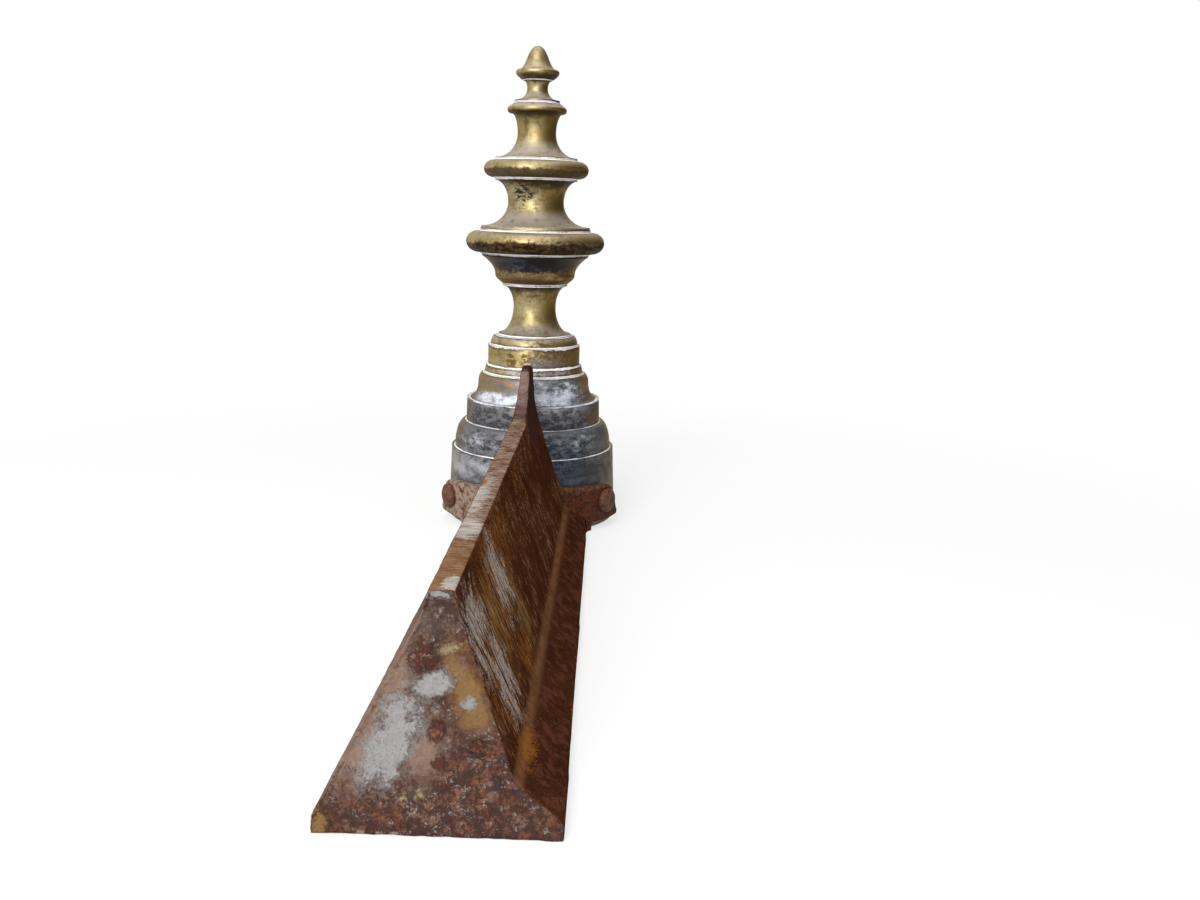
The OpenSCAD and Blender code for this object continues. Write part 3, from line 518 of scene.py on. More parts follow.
brassColours = dict(
    deep=(0.205, 0.150, 0.055), body=(0.285, 0.222, 0.092), light=(0.41, 0.352, 0.212),
    # the darkest brown colours the pits and is also painted shade on the undersides
    soot=(0.013, 0.0065, 0.0028), film=(0.36, 0.325, 0.295), polish=(0.74, 0.73, 0.74),
    # silver is partly a painted sheen; the pale bluish bloom and frost are partly a painted reflection
    groove=(0.07, 0.05, 0.035), tint=(0.136, 0.136, 0.149), silverAndSheen=(0.40, 0.41, 0.43),
    bloom=(0.48, 0.50, 0.55), frost=(0.70, 0.74, 0.83), shade=(0.235, 0.145, 0.034),
    char=(0.018, 0.017, 0.018), brown=(0.10, 0.058, 0.026), olive=(0.12, 0.088, 0.036),
    bronze=(0.24, 0.165, 0.075), blue=(0.065, 0.085, 0.125),
)
colours = dict(brassColours)
usual = dict(metal=0.85, film=0.75, underside=(-0.1, -0.8), smoke=0.9, pitScale=700, covers=[])
# on the rings the painted shade under them reaches a little above level
ringUnder = (0.18, -0.14)
looks = {
    "base_drum": dict(pits=0.25, breakup=0.48, film=0.2, seams=[(49.0, 70, 0.75), (57.2, 51, 0.65)], covers=[
        dict(tone="olive", rough=0.5, metal=0.5, spots=[((0, -127, 40), (96, 80, 80), 60, 0.05, 0.2)]),
        dict(tone="tint", rough=0.40, metal=0.6, cut=(0.2, 0.36), grain=60,
             spots=[((0, -131, 40), (84, 66, 70), 60, 0.1, 0.3)]),
        dict(tone="silverAndSheen", rough=0.45, metal=0.5, cut=(0.3, 0.62), grain=70, powder=True,
             spots=[((42, -146, 42), (24, 34, 11), 90, 0.2, 0.6),
                    ((4, -128, 58), (14, 16, 8), 90, 0.3, 0.6)]),
        dict(tone="blue", rough=0.4, metal=0.5, cut=(0.25, 0.5), grain=60, strength=0.85,
             spots=[((-26, -130, 50), (20, 20, 17), 90, 0.2, 0.6)]),
        dict(tone="bloom", rough=0.7, metal=0.15, cut=(0.44, 0.68), grain=100, strength=0.85, powder=True,
             spots=[((-38, -136, 63), (24, 26, 6.5), 120, 0.3, 0.5),
                    ((40, -140, 61), (18, 26, 6), 120, 0.3, 0.5)]),
        dict(tone="char", metal=0.2, cut=(0.45, 0.56), grain=150, powder=True,
             spots=[((0, -130, 57), (64, 44, 12))]),
        dict(tone="char", metal=0.2, cut=(0.3, 0.6), grain=80, strength=0.7,
             spots=[((-44, -140, 40), (24, 34, 10), 140, 0.3, 0.5),
                    ((0, -130, 33), (70, 44, 5), 140, 0.3, 0.5)]),
        dict(tone="brown", metal=0.2, cut=(0.4, 0.6), grain=90, strength=0.7,
             spots=[((54, -165, 61), (8, 22, 9), 140, 0.4, 0.5),
                    ((-58, -165, 45), (7, 22, 14), 140, 0.4, 0.5)])]),
    "ogee_bell": dict(pits=0.3, breakup=0.5, film=0.2, covers=[
        dict(tone="olive", rough=0.5, metal=0.5, spots=[((0, -135, 85), (84, 70, 30), 60, 0.05, 0.2)]),
        dict(tone="tint", rough=0.42, metal=0.6, cut=(0.22, 0.38), grain=70,
             spots=[((0, -138, 82), (70, 52, 28), 70, 0.1, 0.3)]),
        dict(tone="bronze", rough=0.5, metal=0.6, cut=(0.34, 0.55), grain=110, strength=0.9,
             spots=[((28, -158, 99), (20, 26, 8), 140, 0.35), ((-40, -166, 97), (8, 20, 9), 140, 0.35)]),
        dict(tone="frost", metal=0.2, cut=(0.3, 0.55), grain=90, strength=0.95, powder=True,
             spots=[((-20, -146, 95), (22, 24, 8), 140, 0.3, 0.5),
                    ((26, -148, 89.5), (22, 26, 4), 140, 0.3, 0.5)]),
        dict(tone="bloom", cut=(0.42, 0.6), grain=90, strength=0.6, powder=True,
             spots=[((-26, -146, 84), (22, 24, 3.5), 140, 0.4, 0.5)]),
        dict(tone="char", metal=0.2, cut=(0.41, 0.55), grain=150, powder=True,
             spots=[((0, -140, 77), (60, 44, 9)), ((-26, -146, 76), (22, 24, 7)),
                    ((-24, -146, 99), (16, 22, 6))]),
        dict(tone="brown", cut=(0.36, 0.56), grain=100, strength=0.8,
             spots=[((46, -170, 78), (7, 24, 9)), ((-46, -170, 78), (6, 20, 9))])],
        seams=[(48.6, 70, 0.55), (46.6, 86.6, 1.1), (48.3, 86.4, 0.5), (36.2, 105, 1.2)]),
    "upper_drum": dict(pits=0.42, breakup=0.4, metal=0.7, covers=[
        dict(tone="brown", cut=(0.40, 0.50), grain=260, strength=0.95,
             spots=[((-16, -156, 116), (20, 14, 11), 220), ((14, -156, 117), (3.5, 7, 6), 300, 0.6, 0.3),
                    ((0, -153, 116), (7, 7, 6), 300, 0.6, 0.3)]),
        dict(tone="tint", rough=0.5, metal=0.4, cut=(0.36, 0.54), grain=150, powder=True,
             spots=[((-12, -154, 112), (15, 12, 7), 220)]),
        dict(tone="bloom", rough=0.7, metal=0.1, cut=(0.4, 0.62), grain=190, strength=0.85, powder=True,
             spots=[((-8, -153, 108), (26, 14, 3.5), 220)])],
        seams=[(31.9, 125, 1.4), (33.4, 110.6, 1.3), (35.7, 105.2, 1.1)]),
    "cap_ring": dict(pits=0.42, breakup=0.4, metal=0.75, covers=[
        dict(tone="brown", rough=0.7, metal=0.2, cut=(0.46, 0.6), grain=200,
             spots=[((-8, -158, 127), (16, 9, 4.5), 260, 0.5)])],
        seams=[(27.2, 131.8, 1.3), (31.4, 125.2, 1.1)]),
    "neck": dict(pits=0.28, breakup=0.4, film=0.6, covers=[
        dict(tone="tint", rough=0.55, cut=(0.44, 0.58), grain=190, strength=0.6,
             spots=[((2, -166, 137), (9, 10, 3.5), 220, 0.5, 0.5)]),
        dict(tone="brown", cut=(0.46, 0.6), grain=260, strength=0.9,
             spots=[((2, -168, 163), (14, 10, 4.5), 260, 0.6)])],
        seams=[(26.4, 132.4, 1.1), (23.3, 167.4, 0.55), (23.3, 168.5, 0.5)]),
    "bowl": dict(pits=0.4, breakup=0.35, underside=(-0.3, -0.9), covers=[
        dict(tone="brown", rough=0.45, metal=0.6, cut=(0.36, 0.56), grain=130, strength=0.85,
             spots=[((0, -160, 175), (44, 40, 9), 120, 0.3), ((-30, -166, 180), (14, 24, 9), 120, 0.3)]),
        dict(tone="char", rough=0.36, metal=0.5, cut=(0.12, 0.24), grain=120,
             spots=[((0, -160, 187), (60, 50, 9.5), 130, 0.3, 0.3)]),
        dict(tone="blue", rough=0.5, cut=(0.44, 0.62), grain=120, strength=0.6,
             spots=[((10, -156, 183), (16, 14, 6), 240, 0.4, 0.5)])],
        seams=[(38.0, 189.5, 0.6), (23.4, 168.7, 0.8)]),
    "great_ring": dict(pits=0.7, pitScale=430, breakup=0.5, underside=ringUnder, film=0.3, smoke=1, covers=[
        dict(tone="brown", rough=0.5, metal=0.4, cut=(0.46, 0.56), grain=260, strength=0.6,
             spots=[((0, -165, 194), (62, 62, 6.5), 160)]),
        dict(tone="char", metal=0.2, cut=(0.52, 0.57), grain=330,
             spots=[((-24, -150, 197), (20, 34, 4), 220, 0.5)])],
        seams=[(39.5, 205.4, 1.0), (39.3, 190.2, 0.8)]),
    "middle_spool": dict(pits=0.2, breakup=0.4, covers=[
        dict(tone="brown", cut=(0.46, 0.62), grain=260, strength=0.7,
             spots=[((3, -167, 227), (14, 10, 8), 260, 0.6)]),
        dict(tone="char", metal=0.05, cut=(0.475, 0.505), grain=230,
             spots=[((8, -167, 231.5), (8.5, 8, 6.5), 230, 0.5, 0.3, 0.3)])],
        seams=[(39.3, 206, 0.7), (29.2, 241, 0.8), (38.2, 209, 0.5)]),
    "upper_ring": dict(pits=0.5, pitScale=520, breakup=0.5, underside=ringUnder, film=0.3, smoke=0.86, covers=[
        dict(tone="brown", rough=0.5, metal=0.4, cut=(0.48, 0.58), grain=300, strength=0.5,
             spots=[((0, -165, 245), (50, 50, 5), 180)])],
        seams=[(29.5, 253.9, 1.0), (29.3, 241.6, 0.8)]),
    "upper_spool": dict(pits=0.3, breakup=0.4, seams=[(28.8, 254.6, 0.7), (16.2, 292.4, 0.8)]),
    "tip_collar": dict(pits=0.25, breakup=0.4,
                       seams=[(15.8, 292.5, 0.6), (9.8, 307, 0.7), (15.2, 294.6, 0.45)]),
    "tip_nut": dict(pits=0.12, breakup=0.3, film=0.45, seams=[(10.2, 307.1, 0.7)]),
}
stain = dict(cut=(0.2, 0.3), grain=140, strength=1, rough=0.6, metal=0.3, powder=False)  # a usual cover


def coat(mask, under, tone, rough, metal, strength=1):  # one finish over another: colour, roughness, metal
    tone = blend(mask, under[0], tone, strength)
    return tone, mixValue(mask, under[1], rough), mixValue(mask, under[2], metal)


def makeBrass(name, look):
    look = {**usual, **look}
    material, shader, coords = startMaterial(name, 0.08)
    facing = axes(put("NewGeometry", out=1))
    broad = noise(coords, 45, 3, 0.5)
    middle = noise(coords, 230, 5, 0.6)
    grain = noise(coords, 1700, 3, 0.6)
    cloud = noise(coords, 95, 4, 0.65)
    lathe = noise(vector("MULTIPLY", coords, (60, 60, 900)), 1, 3, 0.6)  # faint marks, level round the piece
    tone = blend(step(broad, 0.35, 0.7), "body", "light", 0.8)
    tone = blend(step(middle, 0.52, 0.34), tone, "deep", 0.7)
    tone = blend(step(cloud, 0.54, 0.68), tone, "olive", 0.55)
    tone = blend(step(lathe, 0.52, 0.36), tone, "deep", 0.35)
    tone = blend(step(grain, 0.56, 0.72), tone, "olive", 0.5)
    tone = blend(step(facing[0], 0.0, -0.75), tone, "shade", 0.75)  # painted shade: browner on the side away from the lamp
    finish = tone, mixValue(step(middle, 0.35, 0.7), 0.50, 0.41), look["metal"]

    # greyish film where dust settles, and painted shade on the undersides, as dark as soot
    film = times(times(step(facing[2], 0.18, 0.75), step(middle, 0.2, 0.55)), look["film"])
    finish = coat(film, finish, "film", 0.6, 0.35)
    low = plus(plus(facing[2], times(minus(middle, 0.5), 0.9)), times(minus(broad, 0.5), 1.1))
    finish = coat(step(low, *look["underside"]), finish, "soot", 0.55, 0.15, look["smoke"])

    # heat tint, char and rust stains, one over the other, with some painted sheen and reflection
    smear = vector("MULTIPLY", coords, (1, 1, 1.9))
    powder = mixValue(step(grain, 0.62, 0.4), 0.5, 1.0)
    for cover in look["covers"]:
        cover = {**stain, **cover}
        streaks = step(noise(smear, cover["grain"], 7, 0.66), *cover["cut"])
        mask = times(patches(coords, cover["spots"], cover["strength"]), streaks)
        if cover["powder"]:
            mask = times(mask, powder)
        finish = coat(mask, finish, cover["tone"], cover["rough"], cover["metal"])

    # pits, which gather on the lower halves, and the dried polish with its dirt
    pits = useGroup(pitGroup, coords, scale=look["pitScale"], amount=look["pits"], area=70)["mask"]
    pits = times(pits, mixValue(step(facing[2], 0.5, -0.1), 0.35, 0.95))
    finish = coat(pits, finish, "soot", 0.7, 0.2)
    seams = [useGroup(seamGroup, coords, breakup=look["breakup"], radius=r * mm, height=z * mm,
                      width=w * mm) for r, z, w in look["seams"]]
    dirt = joinMasks([seam["dirt"] for seam in seams])
    pale = joinMasks([seam["mask"] for seam in seams])
    finish = blend(dirt, finish[0], "groove", 0.7), *finish[1:]
    tone, rough, metal = coat(pale, finish, "polish", 0.8, 0.0)
    relief = plus(plus(minus(times(middle, 0.16), pits), times(pale, 0.6)), times(grain, 0.14))
    finishMaterial(shader, tone, rough, relief, 0.0002, metal)
    shader["Specular Tint"].default_value = (0.75, 0.65, 0.45, 1)
    return material


for node, piece in turned:
    material = makeBrass(piece.name.replace("Brass", "Patina"), looks[node])
    piece.data.materials.append(material)
    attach(piece, "root")
    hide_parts(node)
print("brass finishes ready")


# The log bar is the CAD casting, remeshed, then pushed about by the vertex groups that wear weights.

logBar = dict(voxel=1.35, softening=4, shoulderX=7.5, shoulderZ=80, creaseX=28.5, creaseZ=21, footX=46.3,
              footEdgeH=6.5, fillFrom=130, fillRun=100)
wear = dict(under=-0.6, floorZ=0.4, flank=0.35, footLeast=0.15, footRise=4, brassR=66, brassRun=12,
            endY=200, endFrom=0.35, endRun=0.4, rimX=41, rimY=243, rimH=2.2, rimFrom=150, rimRun=60)
pushes = [
    dict(group="worn", size=34, depth=2, strength=1.6),  # sway of the flanks
    dict(group="worn", size=6, depth=3, strength=1.1),  # lumps
    dict(group="scaly", size=3.2, depth=2, strength=1.9),  # scale on the end face
    dict(group="rim", size=9, depth=2, strength=1.5, direction="Z", level=0.35),  # ragged edge of the feet
]
ironZones = dict(endY=150, endFacing=0.5, saddleR=69.5, saddleX=23, saddleZ=37)


def slide(value, start, end, first, last):  # goes evenly from first to last while value goes from start to end
    return first + (last - first) * ramp(value, start, end - start)


def fillHollow(x, y, z):  # how far the casting has filled the hollow of its +X flank, as a factor for x
    if x <= 0 or y <= logBar["fillFrom"] or not logBar["footEdgeH"] < z < logBar["shoulderZ"]:
        return 1
    straight = slide(z, logBar["footEdgeH"], logBar["shoulderZ"], logBar["footX"], logBar["shoulderX"])
    if z < logBar["creaseZ"]:
        hollow = slide(z, logBar["footEdgeH"], logBar["creaseZ"], logBar["footX"], logBar["creaseX"])
    else:
        hollow = slide(z, logBar["creaseZ"], logBar["shoulderZ"], logBar["creaseX"], logBar["shoulderX"])
    amount = ramp(y, logBar["fillFrom"], logBar["fillRun"])
    return 1 + (straight / hollow - 1) * amount * amount * (3 - 2 * amount)


def roughen(piece, group, size, depth, strength, direction="NORMAL", level=1):
    texture = bpy.data.textures.new(group + "Clouds", "CLOUDS")
    texture.noise_scale = size * mm
    texture.noise_depth = depth
    modify(piece, "DISPLACE", texture=texture, texture_coords="LOCAL", vertex_group=group, direction=direction,
           strength=strength * mm, mid_level=level)


def weighWear(normal, x, y, z):  # weights of the three vertex groups at one vertex
    atEnd = ramp(normal.y, wear["endFrom"], wear["endRun"]) if y > wear["endY"] else 0
    clear = ramp(math.hypot(x, y - columnY / mm), wear["brassR"], wear["brassRun"])  # none beside the brass
    worn = (wear["flank"] + (1 - wear["flank"]) * atEnd) * clear
    worn *= min(1, z / wear["footRise"] + wear["footLeast"])
    edge = max(0, 1 - abs(z) / wear["rimH"]) * ramp(y, wear["rimFrom"], wear["rimRun"])
    under = normal.z < wear["under"]
    return dict(worn=0 if under or z < wear["floorZ"] else worn, scaly=0 if under else atEnd,
                rim=edge if abs(x) > wear["rimX"] or y > wear["rimY"] else 0)


barPiece = bpy.data.objects.new("logBar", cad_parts["log_bar"].data.copy())
scene.collection.objects.link(barPiece)
barPiece.data.materials.clear()
pickOnly(barPiece)
bpy.ops.object.mode_set(mode="EDIT")
bpy.ops.mesh.select_all(action="SELECT")
bpy.ops.mesh.remove_doubles(threshold=2e-5)
bpy.ops.object.mode_set(mode="OBJECT")
modify(barPiece, "REMESH", mode="VOXEL", voxel_size=logBar["voxel"] * mm)
modify(barPiece, "SMOOTH", iterations=logBar["softening"], factor=0.5)
for vertex in barPiece.data.vertices:
    vertex.co.x *= fillHollow(*(v / mm for v in vertex.co))
barPiece.data.update()
groups = {name: barPiece.vertex_groups.new(name=name) for name in ("worn", "scaly", "rim")}
for vertex in barPiece.data.vertices:
    for name, weight in weighWear(vertex.normal, *(v / mm for v in vertex.co)).items():
        groups[name].add([vertex.index], weight, "REPLACE")
for push in pushes:
    roughen(barPiece, **push)
for vertex in barPiece.data.vertices:  # the foot stays on the floor
    vertex.co.z = max(vertex.co.z, 0)
for polygon in barPiece.data.polygons:
    polygon.use_smooth = True
barPiece.data.update()
print("log bar shaped:", len(barPiece.data.polygons), "faces")


# Iron. The spots are written like those of the brass, with a turn at the end where they have one.

ironColours = dict(
    umber=(0.040, 0.0130, 0.0062), rust=(0.086, 0.0265, 0.0085), tan=(0.225, 0.152, 0.105),
    orange=(0.28, 0.105, 0.022), ochre=(0.19, 0.112, 0.036), ash=(0.47, 0.43, 0.395),
    chalk=(0.255, 0.25, 0.245), mauve=(0.185, 0.128, 0.116), plum=(0.225, 0.122, 0.094),
    maroon=(0.165, 0.056, 0.036), pit=(0.016, 0.007, 0.005), cream=(0.42, 0.33, 0.20),
    # sooty is dark rust, and in the end face's cavities it is painted shade
    dark=(0.024, 0.011, 0.007), sooty=(0.046, 0.022, 0.017), hair=(0.80, 0.52, 0.30),
    dust=(0.30, 0.225, 0.170), creaseWearAndHighlight=(0.20, 0.092, 0.042), worn=(0.46, 0.33, 0.24),
    ginger=(0.22, 0.112, 0.046), bright=(0.70, 0.62, 0.53), russet=(0.225, 0.092, 0.038),
    blood=(0.115, 0.026, 0.017), glint=(0.44, 0.36, 0.345),
)
colours.update(ironColours)
slope = 19.6  # degrees that the streaks of each flank lean by
flankSpots = dict(
    halo=[((-13, 170, 64), (12, 60, 22), 160, 0.4, 0.8), ((-22, 150, 38), (9, 16, 14), 160, 0.4, 0.8),
          ((14, 110, 60), (12, 80, 24), 160, 0.4, 0.8)],
    ochre=[((-20, 134, 44), (10, 12, 18), 220, 0.5, 0.5), ((-14, 182, 60), (10, 20, 16), 220, 0.5, 0.5),
           ((18, 90, 50), (10, 70, 26), 160, 0.4, 0.5)],
    ash=[((-12, 150, 66), (9, 15, 20), 160, 0.5, 0.4), ((-12, 216, 67), (9, 18, 17), 160, 0.5, 0.4),
         ((-20, 204, 46), (9, 14, 20), 160, 0.5, 0.4), ((12, 120, 66), (9, 26, 18), 200, 0.45, 0.4),
         ((17, 60, 52), (9, 22, 22), 200, 0.45, 0.4), ((20, 180, 45), (9, 12, 18), 200, 0.45, 0.4)],
)
ridgeSpots = dict(
    ash=[((2, 156, 90), (8, 15, 6), 260, 0.4, 0.4, 0.8, (0, 0, 8)), ((4, 104, 90), (5, 36, 6), 260, 0.7, 0.6),
         ((-3, 226, 90), (4, 7, 6), 260, 0.5, 0.4)],
    orange=[((4.5, 78, 90), (2, 6, 4), 300, 0.5, 0.6)],
)
footSpots = dict(orange=[((-30, 214, 20), (4, 12, 4), 260, 0.6, 0.9)])
tongueSpots = dict(ochre=[((-2, -104, 112), (1.6, 3, 2.4), 300, 0.5, 0.5)])
endSpots = dict(
    tan=[((27, 244, 35), (11, 9, 24), 140, 0.45, 0.6, 0.3, (0, -28, 0)),
         ((15, 241, 60), (7, 9, 26), 140, 0.4, 0.9, 0.2, (0, -20, 0)),
         ((5, 243, 32), (8, 9, 13), 140, 0.4, 0.9, 0.2, (0, -20, 0))],
    chalk=[((16.5, 243, 36), (9, 9, 23), 150, 0.42, 0.5, 0.4, (0, -22, 0)),
           ((3, 240, 56), (9, 9, 4.5), 150, 0.45, 0.4, 0.4, (0, 20, 0)),
           ((-10, 241.5, 49), (3, 9, 2.2), 210, 0.7, 0.5), ((3, 237, 88), (8, 9, 2.2), 210, 0.5, 0.5)],
    ochre=[((-9, 241, 56), (7, 9, 18), 140, 0.35, 0.8, 0.2, (0, 18, 0)),
           ((43, 248, 4), (3.5, 9, 6), 260, 0.5, 0.5), ((-13, 242, 46), (7, 9, 8), 170, 0.45, 0.8, 0.2)],
    cream=[((11, 246, 15), (7, 9, 2.2), 220, 0.6, 0.6, 0.8, (0, 12, 0)),
           ((-1, 239, 68), (6, 9, 1.6), 220, 0.5, 0.7, 0.8, (0, 20, 0))],
    mauve=[((1, 237, 79), (9, 9, 8), 200, 0.4, 0.6)],
    crater=[((6, 239, 66), (5.5, 9, 5.5), 170, 0.4, 0.5), ((1, 243, 39), (3.2, 9, 4), 170, 0.5, 0.5),
            ((-14, 244, 33), (3, 9, 3), 170, 0.5, 0.5), ((0, 245, 27), (2.5, 9, 2.5), 170, 0.5, 0.5)],
)


def leaningPatches(coords, spots, strength):  # patches on the flanks, turned along the streaks
    turns = [(-14, slope if place[0] < 0 else -slope, 0) for place, *others in spots]
    return patches(coords, [(*spot, 0.8, turn) for spot, turn in zip(spots, turns)], strength)


def streaksDown(coords, isLeft, **sizes):  # the same streaks on both flanks, each way round
    lean = math.radians(slope)
    right = useGroup(streakGroup, coords, turn=(-0.25, lean, 0), **sizes)
    left = useGroup(streakGroup, coords, turn=(-0.25, -lean, 0), **sizes)
    return [mixValue(isLeft, right[label], left[label]) for label in ("streak", "hair")]


def makeFlankIron():
    material, shader, coords = startMaterial("rustyFlanks", 0.0)
    facing = axes(put("NewGeometry", out=1))
    x, y, z = axes(coords)
    ridge = times(step(facing[2], 0.75, 0.93), step(z, 0.084, 0.087))
    tongue = times(step(y, -0.064, -0.076), step(z, 0.062, 0.085))
    foot = times(step(z, 0.023, 0.018), step(facing[2], 0.45, 0.65))
    broad = noise(coords, 42, 4, 0.6)
    middle = noise(coords, 160, 5, 0.65)
    grit = noise(coords, 1100, 4, 0.7)
    speck = step(noise(coords, 640, 5, 0.75), 0.44, 0.58)

    # dark rust with fine hairs, and broken ash streaks down the slope
    streak, hair = streaksDown(coords, step(x, -0.001, 0.001), length=0.016, width=0.0017)
    flank = blend(step(broad, 0.36, 0.64), "umber", "rust")
    flank = blend(step(streak, 0.48, 0.36), flank, "dark", 0.8)
    flank = blend(speck, flank, "rust", mixValue(foot, 0.6, 0.3))
    flank = blend(step(grit, 0.54, 0.68), flank, "dark", 0.7)
    halo = times(leaningPatches(coords, flankSpots["halo"], 0.65), step(streak, 0.42, 0.58))
    flank = blend(halo, flank, "orange")
    ochre = times(leaningPatches(coords, flankSpots["ochre"], 0.85), step(streak, 0.44, 0.56))
    flank = blend(ochre, flank, "ochre")
    lean = (-0.25, math.radians(slope), 0)
    finger = useGroup(streakGroup, coords, length=0.022, width=0.0042, turn=lean)
    ash = times(leaningPatches(coords, flankSpots["ash"], 0.8), step(finger["streak"], 0.42, 0.49))
    flank = blend(times(ash, step(streak, 0.34, 0.48)), flank, blend(speck, "ash", "tan"))
    thread = times(step(hair, 0.61, 0.66), step(broad, 0.4, 0.55))
    flank = blend(thread, flank, "hair", mixValue(foot, 0.75, 0.2))

    # foot tops, and above them a paler line along each crease, partly wear and partly a painted highlight
    flank = blend(foot, flank, "umber", 0.5)
    flank = blend(times(foot, step(middle, 0.46, 0.62)), flank, "maroon", 0.4)
    offX = minus(calc("ABSOLUTE", x), logBar["creaseX"] * mm)
    offZ = minus(z, logBar["creaseZ"] * mm)
    far = plus(calc("SQRT", plus(times(offX, offX), times(offZ, offZ))), times(minus(middle, 0.5), 0.008))
    worn = times(step(far, 0.0048, 0.0008), mixValue(step(middle, 0.4, 0.6), 0.45, 0.9))
    flank = blend(worn, flank, "creaseWearAndHighlight")
    flank = blend(patches(coords, footSpots["orange"], 0.8), flank, "orange")

    # ridge: tan brown with scratches across it
    scratch = noise(vector("MULTIPLY", coords, (70, 1300, 200)), 1, 4, 0.62)
    top = blend(step(middle, 0.35, 0.65), "rust", "tan")
    top = blend(step(scratch, 0.5, 0.64), top, "worn", 0.7)
    top = blend(step(scratch, 0.46, 0.36), top, "umber", 0.75)
    top = blend(step(y, 0.13, 0.24), top, "ginger", 0.7)
    top = blend(step(grit, 0.55, 0.7), top, "umber", 0.5)
    nicks = step(noise(vector("MULTIPLY", coords, (130, 2300, 300)), 1, 3, 0.6), 0.60, 0.68)
    top = blend(times(nicks, step(y, 0.16, 0.12)), top, "bright", 0.85)
    top = blend(times(patches(coords, ridgeSpots["ash"]), step(scratch, 0.36, 0.52)), top, "ash", 0.85)
    top = blend(patches(coords, ridgeSpots["orange"]), top, "orange")

    # tongue: mauve at the back edge, near black at its sides
    fin = blend(step(facing[1], 0.2, 0.55), "sooty", "mauve")
    fin = blend(step(middle, 0.46, 0.64), fin, "rust", 0.45)
    fin = blend(step(grit, 0.52, 0.68), fin, "dark", 0.6)
    fin = blend(patches(coords, tongueSpots["ochre"]), fin, "ochre")

    # the paler skin of the end carries on along the +X flank
    lap = times(step(x, 0.004, 0.008), mixValue(step(y, 0.0, 0.15), 0.45, 1))
    lap = times(lap, mixValue(step(streak, 0.38, 0.52), 0.6, 1))
    colour = blend(tongue, blend(ridge, flank, top), fin)
    colour = blend(lap, colour, blend(step(middle, 0.4, 0.6), "mauve", "tan"))
    flakes = useGroup(scaleGroup, coords, size=0.0013)
    relief = plus(plus(times(streak, 0.35), times(hair, 0.15)), times(flakes["height"], 0.16))
    relief = plus(plus(relief, times(times(ridge, scratch), 0.5)), times(grit, 0.22))
    finishMaterial(shader, colour, mixValue(grit, 0.6, 0.8), relief, 0.0013)
    return material


def makeEndIron():  # maroon scale on the end face, chalk and ochre where its skin is left
    material, shader, coords = startMaterial("rustyEnd", 0.2)
    scales = useGroup(scaleGroup, coords, size=0.0040)
    flakes = useGroup(scaleGroup, coords, size=0.0013)
    broad = noise(coords, 42, 4, 0.6)
    middle = noise(coords, 160, 5, 0.65)
    small = noise(coords, 330, 5, 0.7)
    grit = noise(coords, 1100, 4, 0.7)
    rust = blend(step(scales["flake"], 0.38, 0.60), "maroon", "plum")
    rust = blend(step(middle, 0.45, 0.62), rust, "russet", 0.8)
    rust = blend(step(small, 0.52, 0.66), rust, "mauve", 0.7)
    rust = blend(times(step(flakes["flake"], 0.52, 0.64), step(broad, 0.44, 0.6)), rust, "ginger", 0.7)
    rust = blend(step(broad, 0.56, 0.42), rust, "blood", 0.45)
    rust = blend(scales["pit"], rust, "pit", 0.8)
    rust = blend(flakes["pit"], rust, "pit", 0.5)

    # what is left of the skin, and the craters in it
    tan = patches(coords, endSpots["tan"], 0.85)
    chalk = patches(coords, endSpots["chalk"])
    ochre = patches(coords, endSpots["ochre"], 0.9)
    crater = patches(coords, endSpots["crater"], 0.9)
    face = blend(patches(coords, endSpots["mauve"], 0.75), rust, "mauve")
    face = blend(tan, face, blend(step(small, 0.36, 0.55), "mauve", "tan"))
    face = blend(ochre, face, blend(step(small, 0.36, 0.5), "ginger", "ochre"))
    face = blend(chalk, face, "chalk")
    face = blend(patches(coords, endSpots["cream"], 0.8), face, "cream")
    face = blend(times(chalk, step(grit, 0.5, 0.66)), face, "tan", 0.6)
    face = blend(crater, face, blend(step(flakes["flake"], 0.5, 0.62), "blood", "russet"))
    face = blend(step(grit, 0.54, 0.70), face, "umber", 0.35)

    # painted shade in the cavities, and painted glints, on the bare scale
    skin = joinMasks([tan, chalk, ochre])
    bare = minus(1, skin)
    cavityShade = calc("MAXIMUM", step(scales["height"], 0.90, 0.70), step(flakes["height"], 0.85, 0.70))
    face = blend(times(cavityShade, bare), face, "sooty", 0.85)
    # painted highlight: small pale glints, with a low roughness under them
    glint = times(step(flakes["flake"], 0.59, 0.62), step(scales["flake"], 0.44, 0.54))
    glint = times(times(glint, bare), step(grit, 0.50, 0.58))
    face = blend(glint, face, "glint", 0.75)
    relief = plus(times(scales["height"], 1.3), times(flakes["height"], 0.6))
    relief = mixValue(skin, relief, plus(times(flakes["height"], 0.3), 0.85))
    relief = minus(plus(relief, times(grit, 0.22)), times(crater, 0.8))
    finishMaterial(shader, face, mixValue(glint, 0.66, 0.2), relief, 0.0027)
    return material


